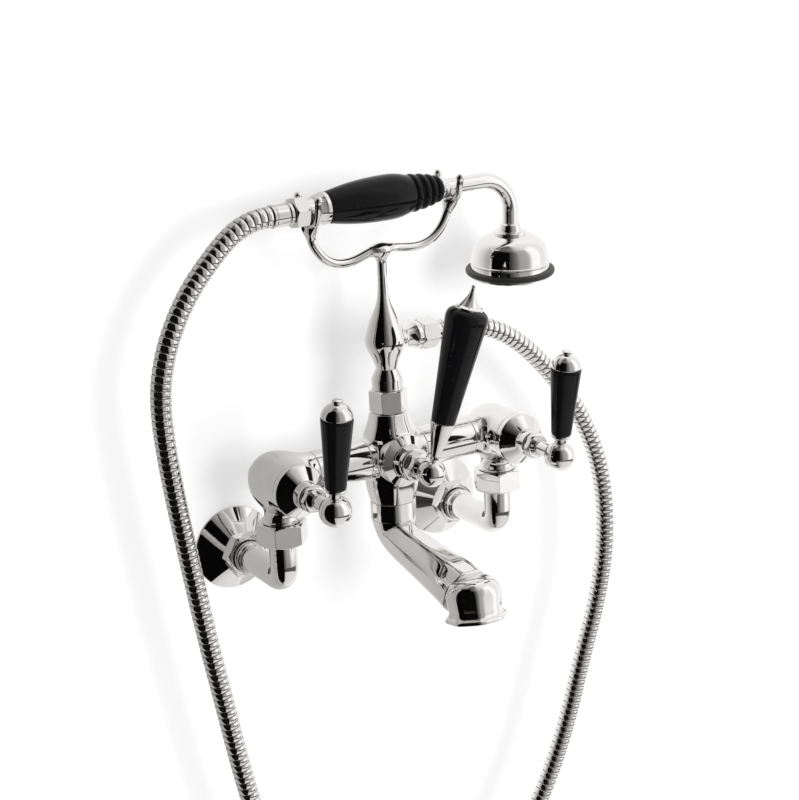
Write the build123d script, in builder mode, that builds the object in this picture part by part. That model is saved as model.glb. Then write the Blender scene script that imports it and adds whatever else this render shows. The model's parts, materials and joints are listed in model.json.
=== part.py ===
from build123d import *
import os
from math import atan2, cos, pi, radians, sin, sqrt, tan

os.makedirs("parts", exist_ok=True)

# Wall mounted bath filler with a hand shower on a cradle. Millimetres.
# The origin is on the wall, midway between the two inlets.
# +X is the user's right, +Y goes into the wall, +Z is up.

# Layout
inlet_centres = 203.2  # 8 inches between the two inlet pipes
leg_reach = 91.5  # wall to the plane of the legs, cross tubes, column and hose
valve_height = 83.5  # inlet axis to the valve and diverter axes
outlet_height = 177.0  # hose outlet on the riser
handset_height = 289.6  # axis of the handset above the column
handset_tilt = 1.1  # degrees that its rose end rests higher
handset_roll = 4.0  # degrees that the rose hangs towards the wall
lever_lean = 8.0  # degrees that each lever leans towards the user
diverter_turn = 12.0  # degrees that the diverter lever rests to the right

# Fits
slip = 0.05  # radial clearance of threads, spigots and spindles
gap = 0.1  # end clearance of a captive flange
clearance = 0.3  # between the handset and the cradle that it rests on
seal = 1.5  # thickness of the flat washers
seat = 2.4  # thickness of the flanges that close on them
lip = 3.4  # end wall of each union nut

# Inlets, as distances from the wall
thread = 13.2  # radius of the 3/4 inch thread on tails and legs
tail_length = 16.0  # thread behind the wall face
tail_bore = 8.5
tail_barrel = 12.8  # radius of the tail in front of the wall
flange = 35.0
flange_rim = 1.8
flange_depth = 16.5
flange_nose = 15.0
flange_wall = 2.6
wall_nut_flats = 34.0
wall_nut_length = 11.5
tail_nose = flange_depth + 3.5
pipe = 11.0
pipe_bore = 8.0
spigot = 10.4
collar = 13.4
collar_length = 8.0
bend = 13.0  # centreline radius of the elbow

# Leg unions
union_base = 32.0
union_length = 18.0
union_flats = 36.0
# Degrees that each side's nut is turned from square
union_turn_left = -12.0
union_turn_right = 2.0
union_top = union_base + union_length
leg_top = union_base + lip + gap + seat

# Valve bodies, as distances from the wall
barrel = 20.8
barrel_back = 65.0
barrel_front = 122.0
neck = 12.2
neck_foot = 15.4
boss_reach = 29.6  # valve axis to the joint with the cross tube
waterway = 7.0
drilling = 3.6

# Valve cartridges
cartridge = 12.9
cartridge_depth = 33.0
cartridge_head = 15.5
head_thickness = 2.5
stem_housing = 7.5
disc = 9.9
disc_thickness = 3.0
disc_port = 2.4
disc_port_circle = 5.0
disc_seat = 2.0
spindle = 5.5
spindle_foot = 8.0

# Covers and glands of the valves
cover = 21.0
cover_rim = 5.0
cover_depth = 14.0
cover_neck = 11.0
cover_length = 24.0
gland_flats = 18.5
gland_length = 6.0
gland_lip = 1.8

# Side levers, from the centre of the ball
ball_reach = 58.8  # front of the valve barrel to the centre of the ball
ball = 12.2
lever_neck = 4.7
lever_ring = 7.8
grip_start = 18.5
grip_foot = 8.0
grip_head = 12.2
grip_end = 75.4
stud = 3.0
cap_height = 10.6
cap_button = 4.0
button_height = 3.5

# Cross tubes and centre body
cross_tube = 16.2
tube_spigot = 9.5
spigot_length = 8.0
arm_reach = 26.0
column_top = 119.5
column_bottom = 45.0
column_neck = 16.5  # corner radius at the top
column_waist = 22.4  # corner radius above and below the arms
column_foot = 19.0
column_bore = 5.5
front_boss = 19.5
front_reach = 21.0
drain_bore = 9.0

# Diverter, from the column axis and from the centre of its ball
diverter_reach = 60.5  # column axis to the centre of the ball
diverter_ball = 11.3
diverter_shaft = 1.7  # length of spindle seen behind the ball
diverter_gland = 9.0
diverter_drum = 13.5
ferrule_start = 14.0
ferrule_foot = 3.7
ferrule_head = 9.8
handle_start = 42.3
handle_head = 16.6
handle_end = 133.0
finial = 10.8
finial_tip = 152.2

# Spout
collar_length_z = 15.0
collar_corner = 19.3
coupling = 14.0
outlet_reach = 208.5
outlet_drop = 18.5
spout_wall = 4.4
nozzle_bore = 16.0
nozzle_depth = 9.0
nozzle_heading = 80.0  # degrees below level that the nozzle points
plate_thickness = 3.0

# Riser and cradle
riser_thread = 11.0
riser_nut_flats = 27.0
riser_nut_length = 18.5
riser_spigot = 9.5
riser_bore = 5.0
vase_foot = 12.5
bulb = 16.4
stem = 3.9
yoke_drop = 46.6  # handset axis to the top of the stem
yoke_rod = 3.7
fork = 16.0  # from the handset's axis to each prong's tip
prong_top = 9.0
prong_rod = 2.9
prong_ball = 3.2
outlet_neck = 9.5
outlet_ring = 10.6
outlet_reach_x = 30.0

# Hose and its unions
hose_radius = 8.0
hose_nut_flats = 22.0
hose_thread = 7.95
hose_neck = 6.5
hose_flange = 1.6
hose_bore = 4.5
sleeve = 8.9
outlet_thread = 8.4  # length of the thread and of the ferrule at each end of the hose
outlet_sleeve = 8.6
handset_thread = 5.4
handset_sleeve = 17.0

# Handset, along its own axis from the column
hook_left = -61.0
hook_right = 65.0
handset_nut_start = -64.6
neck_collar = 9.3
end_ferrule = 12.6
grip_left = -47.5
grip_right = 54.5
grip_belly = 17.7
handset_core = 6.0
core_socket = 8.0  # depth of the core in the end collar
cone_foot = 9.2
cone_length = 6.5
gooseneck = 6.5
neck_ring = 7.1
gooseneck_bend = 28.5
rose_reach = 123.0
tube_drop = 44.0  # handset axis to the tube's end in the rose
rose = 32.4
rose_wall = 2.0
rubber_ring = rose + 4.1
plate_rim = rose + 2.0
spray_hole = 0.9

sides = {"left": -1, "right": 1}

# Directions of the handset as it lies in its cradle
tilt, roll = radians(handset_tilt), radians(handset_roll)
handset_middle = Vector(0, -leg_reach, handset_height)
handset_along = Vector(cos(tilt), 0, sin(tilt))
handset_down = Vector(sin(tilt) * cos(roll), sin(roll), -cos(tilt) * cos(roll))


def turning_plane(origin, direction, radial):
    """Plane of a turned outline: local X is the radius and local Y runs along the axis."""
    normal = Vector(*radial).cross(Vector(*direction))
    return Plane(origin=origin, x_dir=radial, z_dir=normal)


def forward_plane(x, z):
    """Axis from the wall towards the user, so that local Y is the distance from the wall."""
    return turning_plane((x, 0, z), (0, -1, 0), (0, 0, 1))


def upright_plane(x):
    """Upright axis in the plane of the legs, so that local Y is the height."""
    return turning_plane((x, -leg_reach, 0), (0, 0, 1), (1, 0, 0))


def sideways_plane(z, side=1, x=0):
    """Axis along X in the plane of the legs, so that local Y is the distance from x."""
    return turning_plane((x, -leg_reach, z), (side, 0, 0), (0, 0, 1))


def lever_plane(x, reach, turn):
    """Axis of a lever from the centre of its ball, leaning to the user and turned to +X."""
    lean, turned_by = radians(lever_lean), radians(turn)
    direction = (cos(lean) * sin(turned_by), -sin(lean), cos(lean) * cos(turned_by))
    return turning_plane((x, -reach, valve_height), direction, (cos(turned_by), 0, -sin(turned_by)))


def turned(plane, outline, mode=Mode.ADD):
    """Turn a closed outline of (radius, station) points about the plane's Y axis.

    A point joins on by a line, a list of two by an arc and a longer list by a smooth curve."""
    with BuildSketch(plane) as section:
        with BuildLine():
            here = outline[0]
            for step in outline[1:] + [outline[0]]:
                if isinstance(step, tuple):
                    Line(here, step)
                    here = step
                else:
                    curve = ThreePointArc if len(step) == 2 else Spline
                    curve(here, *step)
                    here = step[-1]
        make_face()
    revolve(section.sketch.faces(), axis=Axis(plane.origin, plane.y_dir), mode=mode)


def crown(radius, low, high):
    """Arc from a rim up to the axis, level where it meets the axis."""
    rise = high - low
    sphere = (radius**2 + rise**2) / (2 * rise)
    half = atan2(radius, sphere - rise) / 2
    return [(sphere * sin(half), high - sphere + sphere * cos(half)), (0, high)]


def bar(plane, radius, low, high, inner=0.0, mode=Mode.ADD):
    """Round bar or tube between two stations of a turning plane."""
    turned(plane, [(inner, low), (radius, low), (radius, high), (inner, high)], mode=mode)


def rod(line, radius, mode=Mode.ADD):
    """Round bar, or a bore, along a line."""
    with BuildSketch(Plane(origin=line @ 0, z_dir=line % 0)) as section:
        Circle(radius)
    sweep(section.sketch.faces(), path=line, mode=mode)


def rounded_route(points, bends):
    """Line of straight runs joined by arcs."""
    with BuildLine():
        line = FilletPolyline(*points, radius=bends)
    return line


def save(piece, name):
    piece.part.label = name
    export_step(piece.part, f"parts/{name}.step")


handset_axis = turning_plane(handset_middle, handset_along, -handset_down)
handset_left_axis = turning_plane(handset_middle, -handset_along, -handset_down)


def hexagon_nut(name, plane, flats, low, high, bores, turn=0.0):
    """Hexagon nut with turned chamfers, and its bores as (radius, low, high)."""
    half = flats / 2
    corner = flats / sqrt(3)
    chamfer_depth = (corner - half) * tan(radians(32))
    base = Plane(origin=plane.origin + plane.y_dir * low, x_dir=plane.x_dir, z_dir=plane.y_dir)
    with BuildPart() as nut:
        with BuildSketch(base):
            RegularPolygon(half, side_count=6, major_radius=False, rotation=turn)
        extrude(amount=high - low)
        chamfered = [(0, low), (half, low), (corner + slip, low + chamfer_depth)]
        chamfered += [(corner + slip, high - chamfer_depth), (half, high), (0, high)]
        turned(plane, chamfered, mode=Mode.INTERSECT)
        for radius, start, end in bores:
            bar(plane, radius, start, end, mode=Mode.SUBTRACT)
    save(nut, name)


# ---- inlets: the tail, flange and nut at the wall, and the elbow that they carry

wall_seal = tail_nose + seal
wall_seat = wall_seal + seat
wall_nut_end = flange_depth + wall_nut_length
collar_end = wall_nut_end + gap + collar_length


def inlet_tail(name, x):
    plane = forward_plane(x, 0)
    lead = 1.2
    with BuildPart() as tail:
        outline = [(tail_bore, -tail_length), (thread - lead, -tail_length)]
        outline += [(thread, lead - tail_length), (thread, 0), (tail_barrel, 0)]
        outline += [(tail_barrel, tail_nose), (tail_bore, tail_nose)]
        turned(plane, outline)
    save(tail, f"{name}_inlet_tail")


def wall_flange(name, x):
    plane = forward_plane(x, 0)
    bore = tail_barrel + slip
    hollow = flange - flange_wall * 1.5
    with BuildPart() as shell:
        outline = [(bore, flange_depth - flange_wall * 1.5), (hollow, 0), (flange, 0)]
        outline += [(flange, flange_rim), (flange - flange_rim * 0.7, flange_rim * 1.45)]
        outline += [(flange_nose, flange_depth * 0.9), (flange_nose, flange_depth), (bore, flange_depth)]
        turned(plane, outline)
    save(shell, f"{name}_wall_flange")


def inlet_elbow(name, x):
    plane, leg = forward_plane(x, 0), upright_plane(x)
    with BuildPart() as elbow:
        corner, top = (x, -leg_reach, 0), (x, -leg_reach, leg_top)
        rod(rounded_route([(x, -collar_end, 0), corner, top], bend), pipe)
        bar(plane, spigot, wall_seal, collar_end)
        bar(plane, tail_barrel - 0.2, wall_seal, wall_seat)
        bar(plane, collar, wall_nut_end + gap, collar_end)
        bar(leg, thread - 0.6, leg_top - seat, leg_top)
        rod(rounded_route([(x, -wall_seal, 0), corner, top], bend), pipe_bore, mode=Mode.SUBTRACT)
    save(elbow, f"{name}_inlet_elbow")


for name, side in sides.items():
    x = side * inlet_centres / 2
    inlet_tail(name, x)
    wall_flange(name, x)
    inlet_elbow(name, x)
    wall_bores = [(tail_barrel + slip, flange_depth - 1, wall_seat + gap)]
    wall_bores += [(spigot + slip, wall_seat, wall_nut_end + 1)]
    hexagon_nut(
        f"{name}_tail_nut", forward_plane(x, 0), wall_nut_flats, flange_depth, wall_nut_end, wall_bores
    )
    leg_bores = [(pipe + slip, union_base - 1, leg_top), (thread + slip, leg_top - seat - gap, union_top + 1)]
    hexagon_nut(
        f"{name}_union_nut", upright_plane(x), union_flats, union_base, union_top, leg_bores,
        turn=30 + (union_turn_left if side < 0 else union_turn_right),
    )


# ---- valves: a cast body, its ceramic cartridge, the cover and the gland

chamber = disc + 2 * slip
neck_rise = valve_height - union_top
lever_reach = barrel_front + ball_reach  # wall to the centre of each lever's ball
valve_nose = barrel_front + cover_length + gland_length - gland_lip - gap


def valve_body(name, x, side):
    valve, leg = forward_plane(x, valve_height), upright_plane(x)
    inward = sideways_plane(valve_height, -side, x)
    thread_start = leg_top + seal
    bore_end = barrel_front - cartridge_depth
    with BuildPart() as body:
        dome = barrel_back + barrel
        quarter = barrel * sqrt(0.5)
        arc = [(quarter, dome - quarter), (barrel, dome)]
        turned(valve, [(0, barrel_back), arc, (barrel, barrel_front), (0, barrel_front)])
        outline = [(0, thread_start), (thread, thread_start), (thread, union_top + gap)]
        outline += [(neck_foot, union_top + gap), (neck_foot, union_top + neck_rise * 0.05)]
        outline += [[(neck * 1.05, union_top + neck_rise * 0.165), (neck, union_top + neck_rise * 0.3),
                     (neck * 1.25, union_top + neck_rise * 0.57)]]
        outline += [(neck * 1.25, valve_height), (0, valve_height)]
        turned(leg, outline)
        flare = [(cross_tube * 1.06, boss_reach * 0.7), (cross_tube * 1.22, boss_reach * 0.36)]
        outline = [(0, 0), (0, boss_reach), (cross_tube, boss_reach), (cross_tube, boss_reach * 0.9)]
        outline += [flare, (cross_tube * 1.22, 0)]
        turned(inward, outline)
        bar(valve, cartridge + slip, bore_end, barrel_front + 1, mode=Mode.SUBTRACT)
        bar(valve, waterway, barrel_back + barrel * 0.53, bore_end + 1, mode=Mode.SUBTRACT)
        bar(leg, pipe_bore, thread_start - 1, valve_height - cartridge * 1.3, mode=Mode.SUBTRACT)
        feed = Plane(origin=(x, -bore_end + waterway, valve_height), z_dir=(0, 0, -1))
        with BuildSketch(feed):
            Circle(drilling)
        extrude(amount=neck_rise * 0.76, mode=Mode.SUBTRACT)
        bar(inward, waterway, cartridge - 2, boss_reach + 1, mode=Mode.SUBTRACT)
        socket_depth = boss_reach - spigot_length - gap
        bar(inward, tube_spigot + slip, socket_depth, boss_reach + 1, mode=Mode.SUBTRACT)
    save(body, f"{name}_valve_body")


def valve_cartridge(name, plane, front, nose):
    """Cartridge that screws into a bore from its front face and holds the two discs."""
    bottom = front - cartridge_depth
    disc_top = bottom + disc_seat + 2 * disc_thickness
    chamber_end = disc_top + disc_seat + 1
    with BuildPart() as housing:
        outline = [(0, bottom), (cartridge, bottom), (cartridge, front), (cartridge_head, front)]
        outline += [(cartridge_head, front + head_thickness), (stem_housing, front + head_thickness)]
        outline += [(stem_housing, nose), (0, nose)]
        turned(plane, outline)
        bar(plane, spindle + slip, bottom, nose + 1, mode=Mode.SUBTRACT)
        bar(plane, chamber, bottom + disc_seat, chamber_end, mode=Mode.SUBTRACT)
        bar(plane, disc_port_circle + disc_port, bottom - 1, bottom + disc_seat, mode=Mode.SUBTRACT)
        window = Plane(
            origin=plane.origin + plane.y_dir * (disc_top - disc_thickness / 2), z_dir=plane.x_dir
        )
        with BuildSketch(window):
            Rectangle(disc_thickness - 2 * gap, spindle_foot, rotation=90 if plane.y_dir.Y else 0)
        extrude(amount=cartridge + 1, both=True, mode=Mode.SUBTRACT)
    save(housing, name)


def valve_disc(plane, low, turn):
    """Ceramic disc with two ports, made where a builder is open."""
    base = Plane(origin=plane.origin + plane.y_dir * low, x_dir=plane.x_dir, z_dir=plane.y_dir)
    with BuildSketch(base) as section:
        Circle(disc)
        with PolarLocations(disc_port_circle, 2, start_angle=turn):
            Circle(disc_port, mode=Mode.SUBTRACT)
    extrude(section.sketch.faces(), amount=disc_thickness)


def turning_parts(name, spindle_name, disc_name, plane, front, reach):
    """Spindle with its foot, and the disc that turns with it."""
    disc_low = front - cartridge_depth + disc_seat + disc_thickness + slip
    disc_top = disc_low + disc_thickness - slip
    with BuildPart() as turning:
        valve_disc(plane, disc_low, 90)
    save(turning, disc_name)
    with BuildPart() as rod:
        foot_top = disc_top + slip + disc_seat
        outline = [(0, disc_top + slip), (spindle_foot, disc_top + slip), (spindle_foot, foot_top)]
        outline += [(spindle, foot_top), (spindle, reach + 2), (0, reach + 2)]
        turned(plane, outline)
    save(rod, spindle_name)


def bonnet_cover(name, x):
    plane = forward_plane(x, valve_height)
    front, end = barrel_front, barrel_front + cover_length
    hollow = cartridge_head + 2
    with BuildPart() as shell:
        outline = [(hollow, front), (cover, front), (cover, front + cover_rim)]
        outline += [(cover - 0.8, front + cover_rim + 1), (cover_neck, front + cover_depth)]
        outline += [(cover_neck, end - 0.8), (cover_neck - 0.8, end), (stem_housing + slip, end)]
        outline += [(stem_housing + slip, front + cover_depth - 3), (hollow, front + head_thickness + 1)]
        turned(plane, outline)
    save(shell, f"{name}_bonnet_cover")


for name, side in sides.items():
    x = side * inlet_centres / 2
    plane = forward_plane(x, valve_height)
    valve_body(name, x, side)
    valve_cartridge(f"{name}_cartridge", plane, barrel_front, valve_nose)
    bonnet_cover(name, x)
    gland_start = barrel_front + cover_length
    gland_end = gland_start + gland_length
    gland_bores = [(stem_housing + slip, gland_start - 1, valve_nose + gap)]
    gland_bores += [(spindle + slip, valve_nose, gland_end + 1)]
    hexagon_nut(f"{name}_gland_nut", plane, gland_flats, gland_start, gland_end, gland_bores)
    turning_parts(name, f"{name}_spindle", f"{name}_turning_disc", plane, barrel_front, lever_reach)


# ---- side levers: a ball with a stud, a black grip and a domed cap


def lever_hub(name, x):
    plane = lever_plane(x, lever_reach, 0)
    ball_top = sqrt(ball**2 - lever_neck**2)
    with BuildPart() as hub:
        outline = [(0, -ball), [(ball, 0), (lever_neck, ball_top)], (lever_neck, grip_start - 3.3)]
        outline += [(lever_ring - 0.5, grip_start - 2.6), (lever_ring, grip_start - 1.4)]
        outline += [(lever_ring - 0.5, grip_start), (stud, grip_start)]
        outline += [(stud, grip_end + 2), (0, grip_end + 2)]
        turned(plane, outline)
        valve = forward_plane(x, valve_height)
        low = lever_reach - ball - 1
        bar(valve, spindle + slip, low, lever_reach + 2 + slip, mode=Mode.SUBTRACT)
    save(hub, f"{name}_lever_hub")


def lever_grip(name, x):
    plane = lever_plane(x, lever_reach, 0)
    with BuildPart() as grip:
        outline = [(stud + slip, grip_start), (grip_foot - 0.7, grip_start), (grip_foot, grip_start + 1)]
        outline += [(grip_head, grip_end - 2), (grip_head - 0.5, grip_end), (stud + slip, grip_end)]
        turned(plane, outline)
    save(grip, f"{name}_lever_grip")


def lever_cap(name, x):
    plane = lever_plane(x, lever_reach, 0)
    brim = grip_head - 0.3
    dome = grip_end + cap_height
    button_top = dome + button_height
    shoulder = (brim * 0.8, grip_end + cap_height * 0.58)
    with BuildPart() as cap:
        outline = [(0, grip_end + 3), (stud + slip, grip_end + 3), (stud + slip, grip_end)]
        outline += [(brim, grip_end), (brim, grip_end + 1), [shoulder, (cap_button - 0.8, dome)]]
        outline += [(cap_button, dome + 0.8), (cap_button, button_top - 1.2)]
        outline += [crown(cap_button, button_top - 1.2, button_top)]
        turned(plane, outline)
    save(cap, f"{name}_lever_cap")


for name, side in sides.items():
    x = side * inlet_centres / 2
    lever_hub(name, x)
    lever_grip(name, x)
    lever_cap(name, x)


# ---- centre: the octagonal column body, its cross tubes and the collar under it


def octagon(plane, corner):
    with BuildSketch(plane) as section:
        RegularPolygon(corner, side_count=8, rotation=22.5)
    return section.sketch.faces()


def column_plane(z):
    return Plane(origin=(0, -leg_reach, z))


tube_end = inlet_centres / 2 - boss_reach
front_face = leg_reach + front_reach
collar_bottom = column_bottom - collar_length_z
drain_end = column_bottom - collar_length_z * 0.45

with BuildPart() as centre_body:
    above, below = valve_height + cross_tube, valve_height - cross_tube
    sections = octagon(column_plane(column_bottom), column_foot)
    sections += octagon(column_plane(below), column_waist)
    sections += octagon(column_plane(valve_height - cross_tube / 2), column_waist - 1)
    sections += octagon(column_plane(valve_height + cross_tube / 2), column_waist - 1)
    sections += octagon(column_plane(above), column_waist)
    sections += octagon(column_plane((above + column_top) / 2), column_neck + 2.6)
    sections += octagon(column_plane(column_top), column_neck)
    loft(sections, ruled=True)
    column = upright_plane(0)
    for side in sides.values():
        arm = sideways_plane(valve_height, side)
        bar(arm, cross_tube, 0, arm_reach)
    valve = forward_plane(0, valve_height)
    bar(valve, front_boss, leg_reach, front_face)
    bar(column, riser_thread, column_top - 1, column_top + riser_nut_length * 0.62)
    bar(column, coupling, drain_end, column_bottom + 1)
    bar(column, column_bore, valve_height, column_top + riser_nut_length, mode=Mode.SUBTRACT)
    bar(column, drain_bore, drain_end - 1, valve_height, mode=Mode.SUBTRACT)
    bar(valve, cartridge + slip, front_face - cartridge_depth, front_face + 1, mode=Mode.SUBTRACT)
    for side in sides.values():
        arm = sideways_plane(valve_height, side)
        bar(arm, waterway, cartridge - 2, arm_reach + 1, mode=Mode.SUBTRACT)
        socket = arm_reach - spigot_length - gap
        bar(arm, tube_spigot + slip, socket, arm_reach + 1, mode=Mode.SUBTRACT)
save(centre_body, "centre_body")

for name, side in sides.items():
    with BuildPart() as cross:
        plane = sideways_plane(valve_height, side)
        bar(plane, cross_tube, arm_reach, tube_end)
        bar(plane, tube_spigot, arm_reach - spigot_length, tube_end + spigot_length)
        bar(
            plane, waterway, arm_reach - spigot_length - 1, tube_end + spigot_length + 1,
            mode=Mode.SUBTRACT,
        )
    save(cross, f"{name}_cross_tube")

with BuildPart() as spout_collar:
    extrude(octagon(column_plane(collar_bottom), collar_corner), amount=collar_length_z)
    bar(upright_plane(0), coupling + slip, collar_bottom - 1, column_bottom + 1, mode=Mode.SUBTRACT)
save(spout_collar, "spout_collar")


# ---- spout: octagonal tube that turns forward and down into a bell nozzle

rise = collar_bottom + outlet_drop
run = outlet_reach - leg_reach


def spout_section(reach, height, heading, corner):
    """Octagon at a share of the spout's run and rise, heading down by an angle in degrees."""
    angle = radians(heading)
    place = (0, -leg_reach - reach * run, height * rise - outlet_drop)
    plane = Plane(origin=place, x_dir=(1, 0, 0), z_dir=(0, -cos(angle), -sin(angle)))
    return octagon(plane, corner)


spout_stations = [
    (0.0, 1.0, 90, 19.0),
    (0.024, 0.8, 60, 17.0),
    (0.1, 0.67, 26, 16.6),
    (0.23, 0.59, 13, 17.0),
    (0.42, 0.52, 9, 18.2),
    (0.63, 0.45, 9, 20.0),
    (0.79, 0.395, 15, 21.4),
    (0.91, 0.31, 36, 22.2),
    (0.975, 0.19, 60, 22.5),
    (0.992, 0.1, nozzle_heading - 4, 22.8),
    (1.0, 0.0, nozzle_heading, 25.2),
]


def spout_loft(stations, inset, mode=Mode.ADD):
    sections = []
    for reach, height, heading, corner in stations:
        sections += spout_section(reach, height, heading, corner - inset)
    loft(sections, ruled=True, mode=mode)


drop = radians(nozzle_heading)
upstream = (0, cos(drop), sin(drop))  # direction from the mouth into the nozzle

with BuildPart() as spout:
    spout_loft(spout_stations, 0)
    bar(upright_plane(0), coupling, collar_bottom - 1, drain_end - seal)
    spout_loft(spout_stations[1:-1], spout_wall, mode=Mode.SUBTRACT)
    bar(upright_plane(0), drain_bore, collar_bottom / 2, drain_end, mode=Mode.SUBTRACT)
    mouth = turning_plane((0, -outlet_reach, -outlet_drop), upstream, (1, 0, 0))
    bar(mouth, nozzle_bore, -4, nozzle_depth, mode=Mode.SUBTRACT)
save(spout, "spout")

with BuildPart() as flow_straightener:
    plate_low = mouth.origin + mouth.y_dir * (nozzle_depth - plate_thickness)
    with BuildSketch(Plane(origin=plate_low, x_dir=(1, 0, 0), z_dir=upstream)):
        Circle(nozzle_bore - slip)
        Circle(1.4, mode=Mode.SUBTRACT)
        for ring, count in ((4.6, 6), (9.0, 12), (13.0, 18)):
            with PolarLocations(ring, count):
                Circle(1.4, mode=Mode.SUBTRACT)
    extrude(amount=plate_thickness)
save(flow_straightener, "flow_straightener")


# ---- diverter: the same cartridge in the column, with a longer lever

knob_reach = leg_reach + diverter_reach
gland_end = knob_reach - diverter_ball - diverter_shaft
drum_end = gland_end - diverter_gland
diverter_nose = gland_end - gland_lip - gap
diverter_axis = forward_plane(0, valve_height)

with BuildPart() as diverter_bonnet:
    head_end = front_face + head_thickness + gap
    hollow = cartridge_head + slip
    outline = [(hollow, front_face), (cover - 0.2, front_face), (cover - 0.2, front_face + 2.3)]
    outline += [(diverter_drum + 0.6, head_end + 3.2), (diverter_drum, head_end + 4)]
    outline += [(diverter_drum, drum_end - 1.6)]
    outline += [[(diverter_drum - 0.6, drum_end - 0.5), (diverter_drum - 2, drum_end)]]
    outline += [(stem_housing + slip, drum_end), (stem_housing + slip, head_end), (hollow, head_end)]
    turned(diverter_axis, outline)
save(diverter_bonnet, "diverter_bonnet")

valve_cartridge("diverter_cartridge", diverter_axis, front_face, diverter_nose)
gland_bores = [(stem_housing + slip, drum_end - 1, diverter_nose + gap)]
gland_bores += [(spindle + slip, diverter_nose, gland_end + 1)]
hexagon_nut("diverter_gland_nut", diverter_axis, gland_flats, drum_end, gland_end, gland_bores)
turning_parts(
    "diverter", "diverter_spindle", "diverter_disc", diverter_axis, front_face, knob_reach
)
diverter_lever = lever_plane(0, knob_reach, diverter_turn)

with BuildPart() as diverter_hub:
    neck_radius = ferrule_foot - 0.3
    ball_top = sqrt(diverter_ball**2 - neck_radius**2)
    outline = [(0, -diverter_ball), [(diverter_ball, 0), (neck_radius, ball_top)]]
    outline += [(neck_radius, ferrule_start), (stud, ferrule_start)]
    outline += [(stud, handle_end + 4), (0, handle_end + 4)]
    turned(diverter_lever, outline)
    low = knob_reach - diverter_ball - 1
    bar(diverter_axis, spindle + slip, low, knob_reach + 2 + slip, mode=Mode.SUBTRACT)
save(diverter_hub, "diverter_hub")

with BuildPart() as diverter_ferrule:
    outline = [(stud + slip, ferrule_start), (ferrule_foot, ferrule_start)]
    outline += [(ferrule_head, handle_start - 0.8), (ferrule_head, handle_start)]
    outline += [(stud + slip, handle_start)]
    turned(diverter_lever, outline)
save(diverter_ferrule, "diverter_ferrule")

with BuildPart() as diverter_grip:
    outline = [(stud + slip, handle_start), (ferrule_head - 0.4, handle_start)]
    outline += [(handle_head - 0.3, handle_end - 12)]
    outline += [[(handle_head, handle_end - 8), (handle_head - 1.6, handle_end - 2.4),
                 (finial + 0.4, handle_end)]]
    outline += [(stud + slip, handle_end)]
    turned(diverter_lever, outline)
save(diverter_grip, "diverter_grip")

with BuildPart() as diverter_finial:
    tip = finial_tip - handle_end
    outline = [(0, handle_end + 5), (stud + slip, handle_end + 5), (stud + slip, handle_end)]
    outline += [(finial, handle_end), (finial, handle_end + 1.6), (finial - 2.6, handle_end + 2.8)]
    outline += [[(finial * 0.42, handle_end + tip * 0.42), (finial * 0.2, handle_end + tip * 0.7),
                 (1.5, handle_end + tip * 0.85)]]
    outline += [crown(1.5, handle_end + tip * 0.85, finial_tip)]
    turned(diverter_lever, outline)
save(diverter_finial, "diverter_finial")


# ---- riser: a vase shaped column with the hose outlet, and the yoke of the cradle

nut_top = column_top + riser_nut_length
thread_top = column_top + riser_nut_length * 0.62
riser_foot = thread_top + seal
riser_bores = [(riser_thread + slip, column_top - 1, riser_foot + seat + gap)]
riser_bores += [(riser_spigot + slip, riser_foot + seat, nut_top + 1)]
hexagon_nut("riser_nut", upright_plane(0), riser_nut_flats, column_top, nut_top, riser_bores, turn=10)

stem_top = handset_height - yoke_drop

# Middle lines of the arms, as shares of the hook's reach and of the yoke's drop
arm_left = [(0.13, 0.86), (0.33, 0.94), (0.57, 0.98), (0.75, 0.915), (0.89, 0.755), (0.98, 0.55)]
arm_right = [(0.12, 0.845), (0.34, 0.88), (0.54, 0.885), (0.71, 0.81), (0.85, 0.645), (0.94, 0.44)]


def cradle_arm(shares, hook, saddle):
    """Yoke arm with its fork: two prongs that rise in front of and behind the handset."""
    rest = handset_height + hook * tan(radians(handset_tilt))
    end = (hook, -leg_reach, rest - saddle - yoke_rod - clearance)
    start = (0, -leg_reach, stem_top + yoke_rod * 1.9)
    path = [(reach * hook, -leg_reach, handset_height - drop * yoke_drop) for reach, drop in shares]
    with BuildLine():
        arm = Spline(start, *path, end)
    rod(arm, yoke_rod)
    for front in (-1, 1):
        lift = rest + prong_top - end[2]
        with BuildLine():
            prong = Spline(
                end,
                (hook, -leg_reach + front * fork * 0.6, end[2] + lift * 0.2),
                (hook, -leg_reach + front * fork * 0.88, end[2] + lift * 0.58),
                (hook, -leg_reach + front * fork, end[2] + lift),
                tangents=[(0, front, 0), (0, front * 0.2, 1)],
            )
        rod(prong, prong_rod)
        with Locations(prong @ 1):
            Sphere(prong_ball)
    with Locations(end):
        Sphere(yoke_rod)


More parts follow.
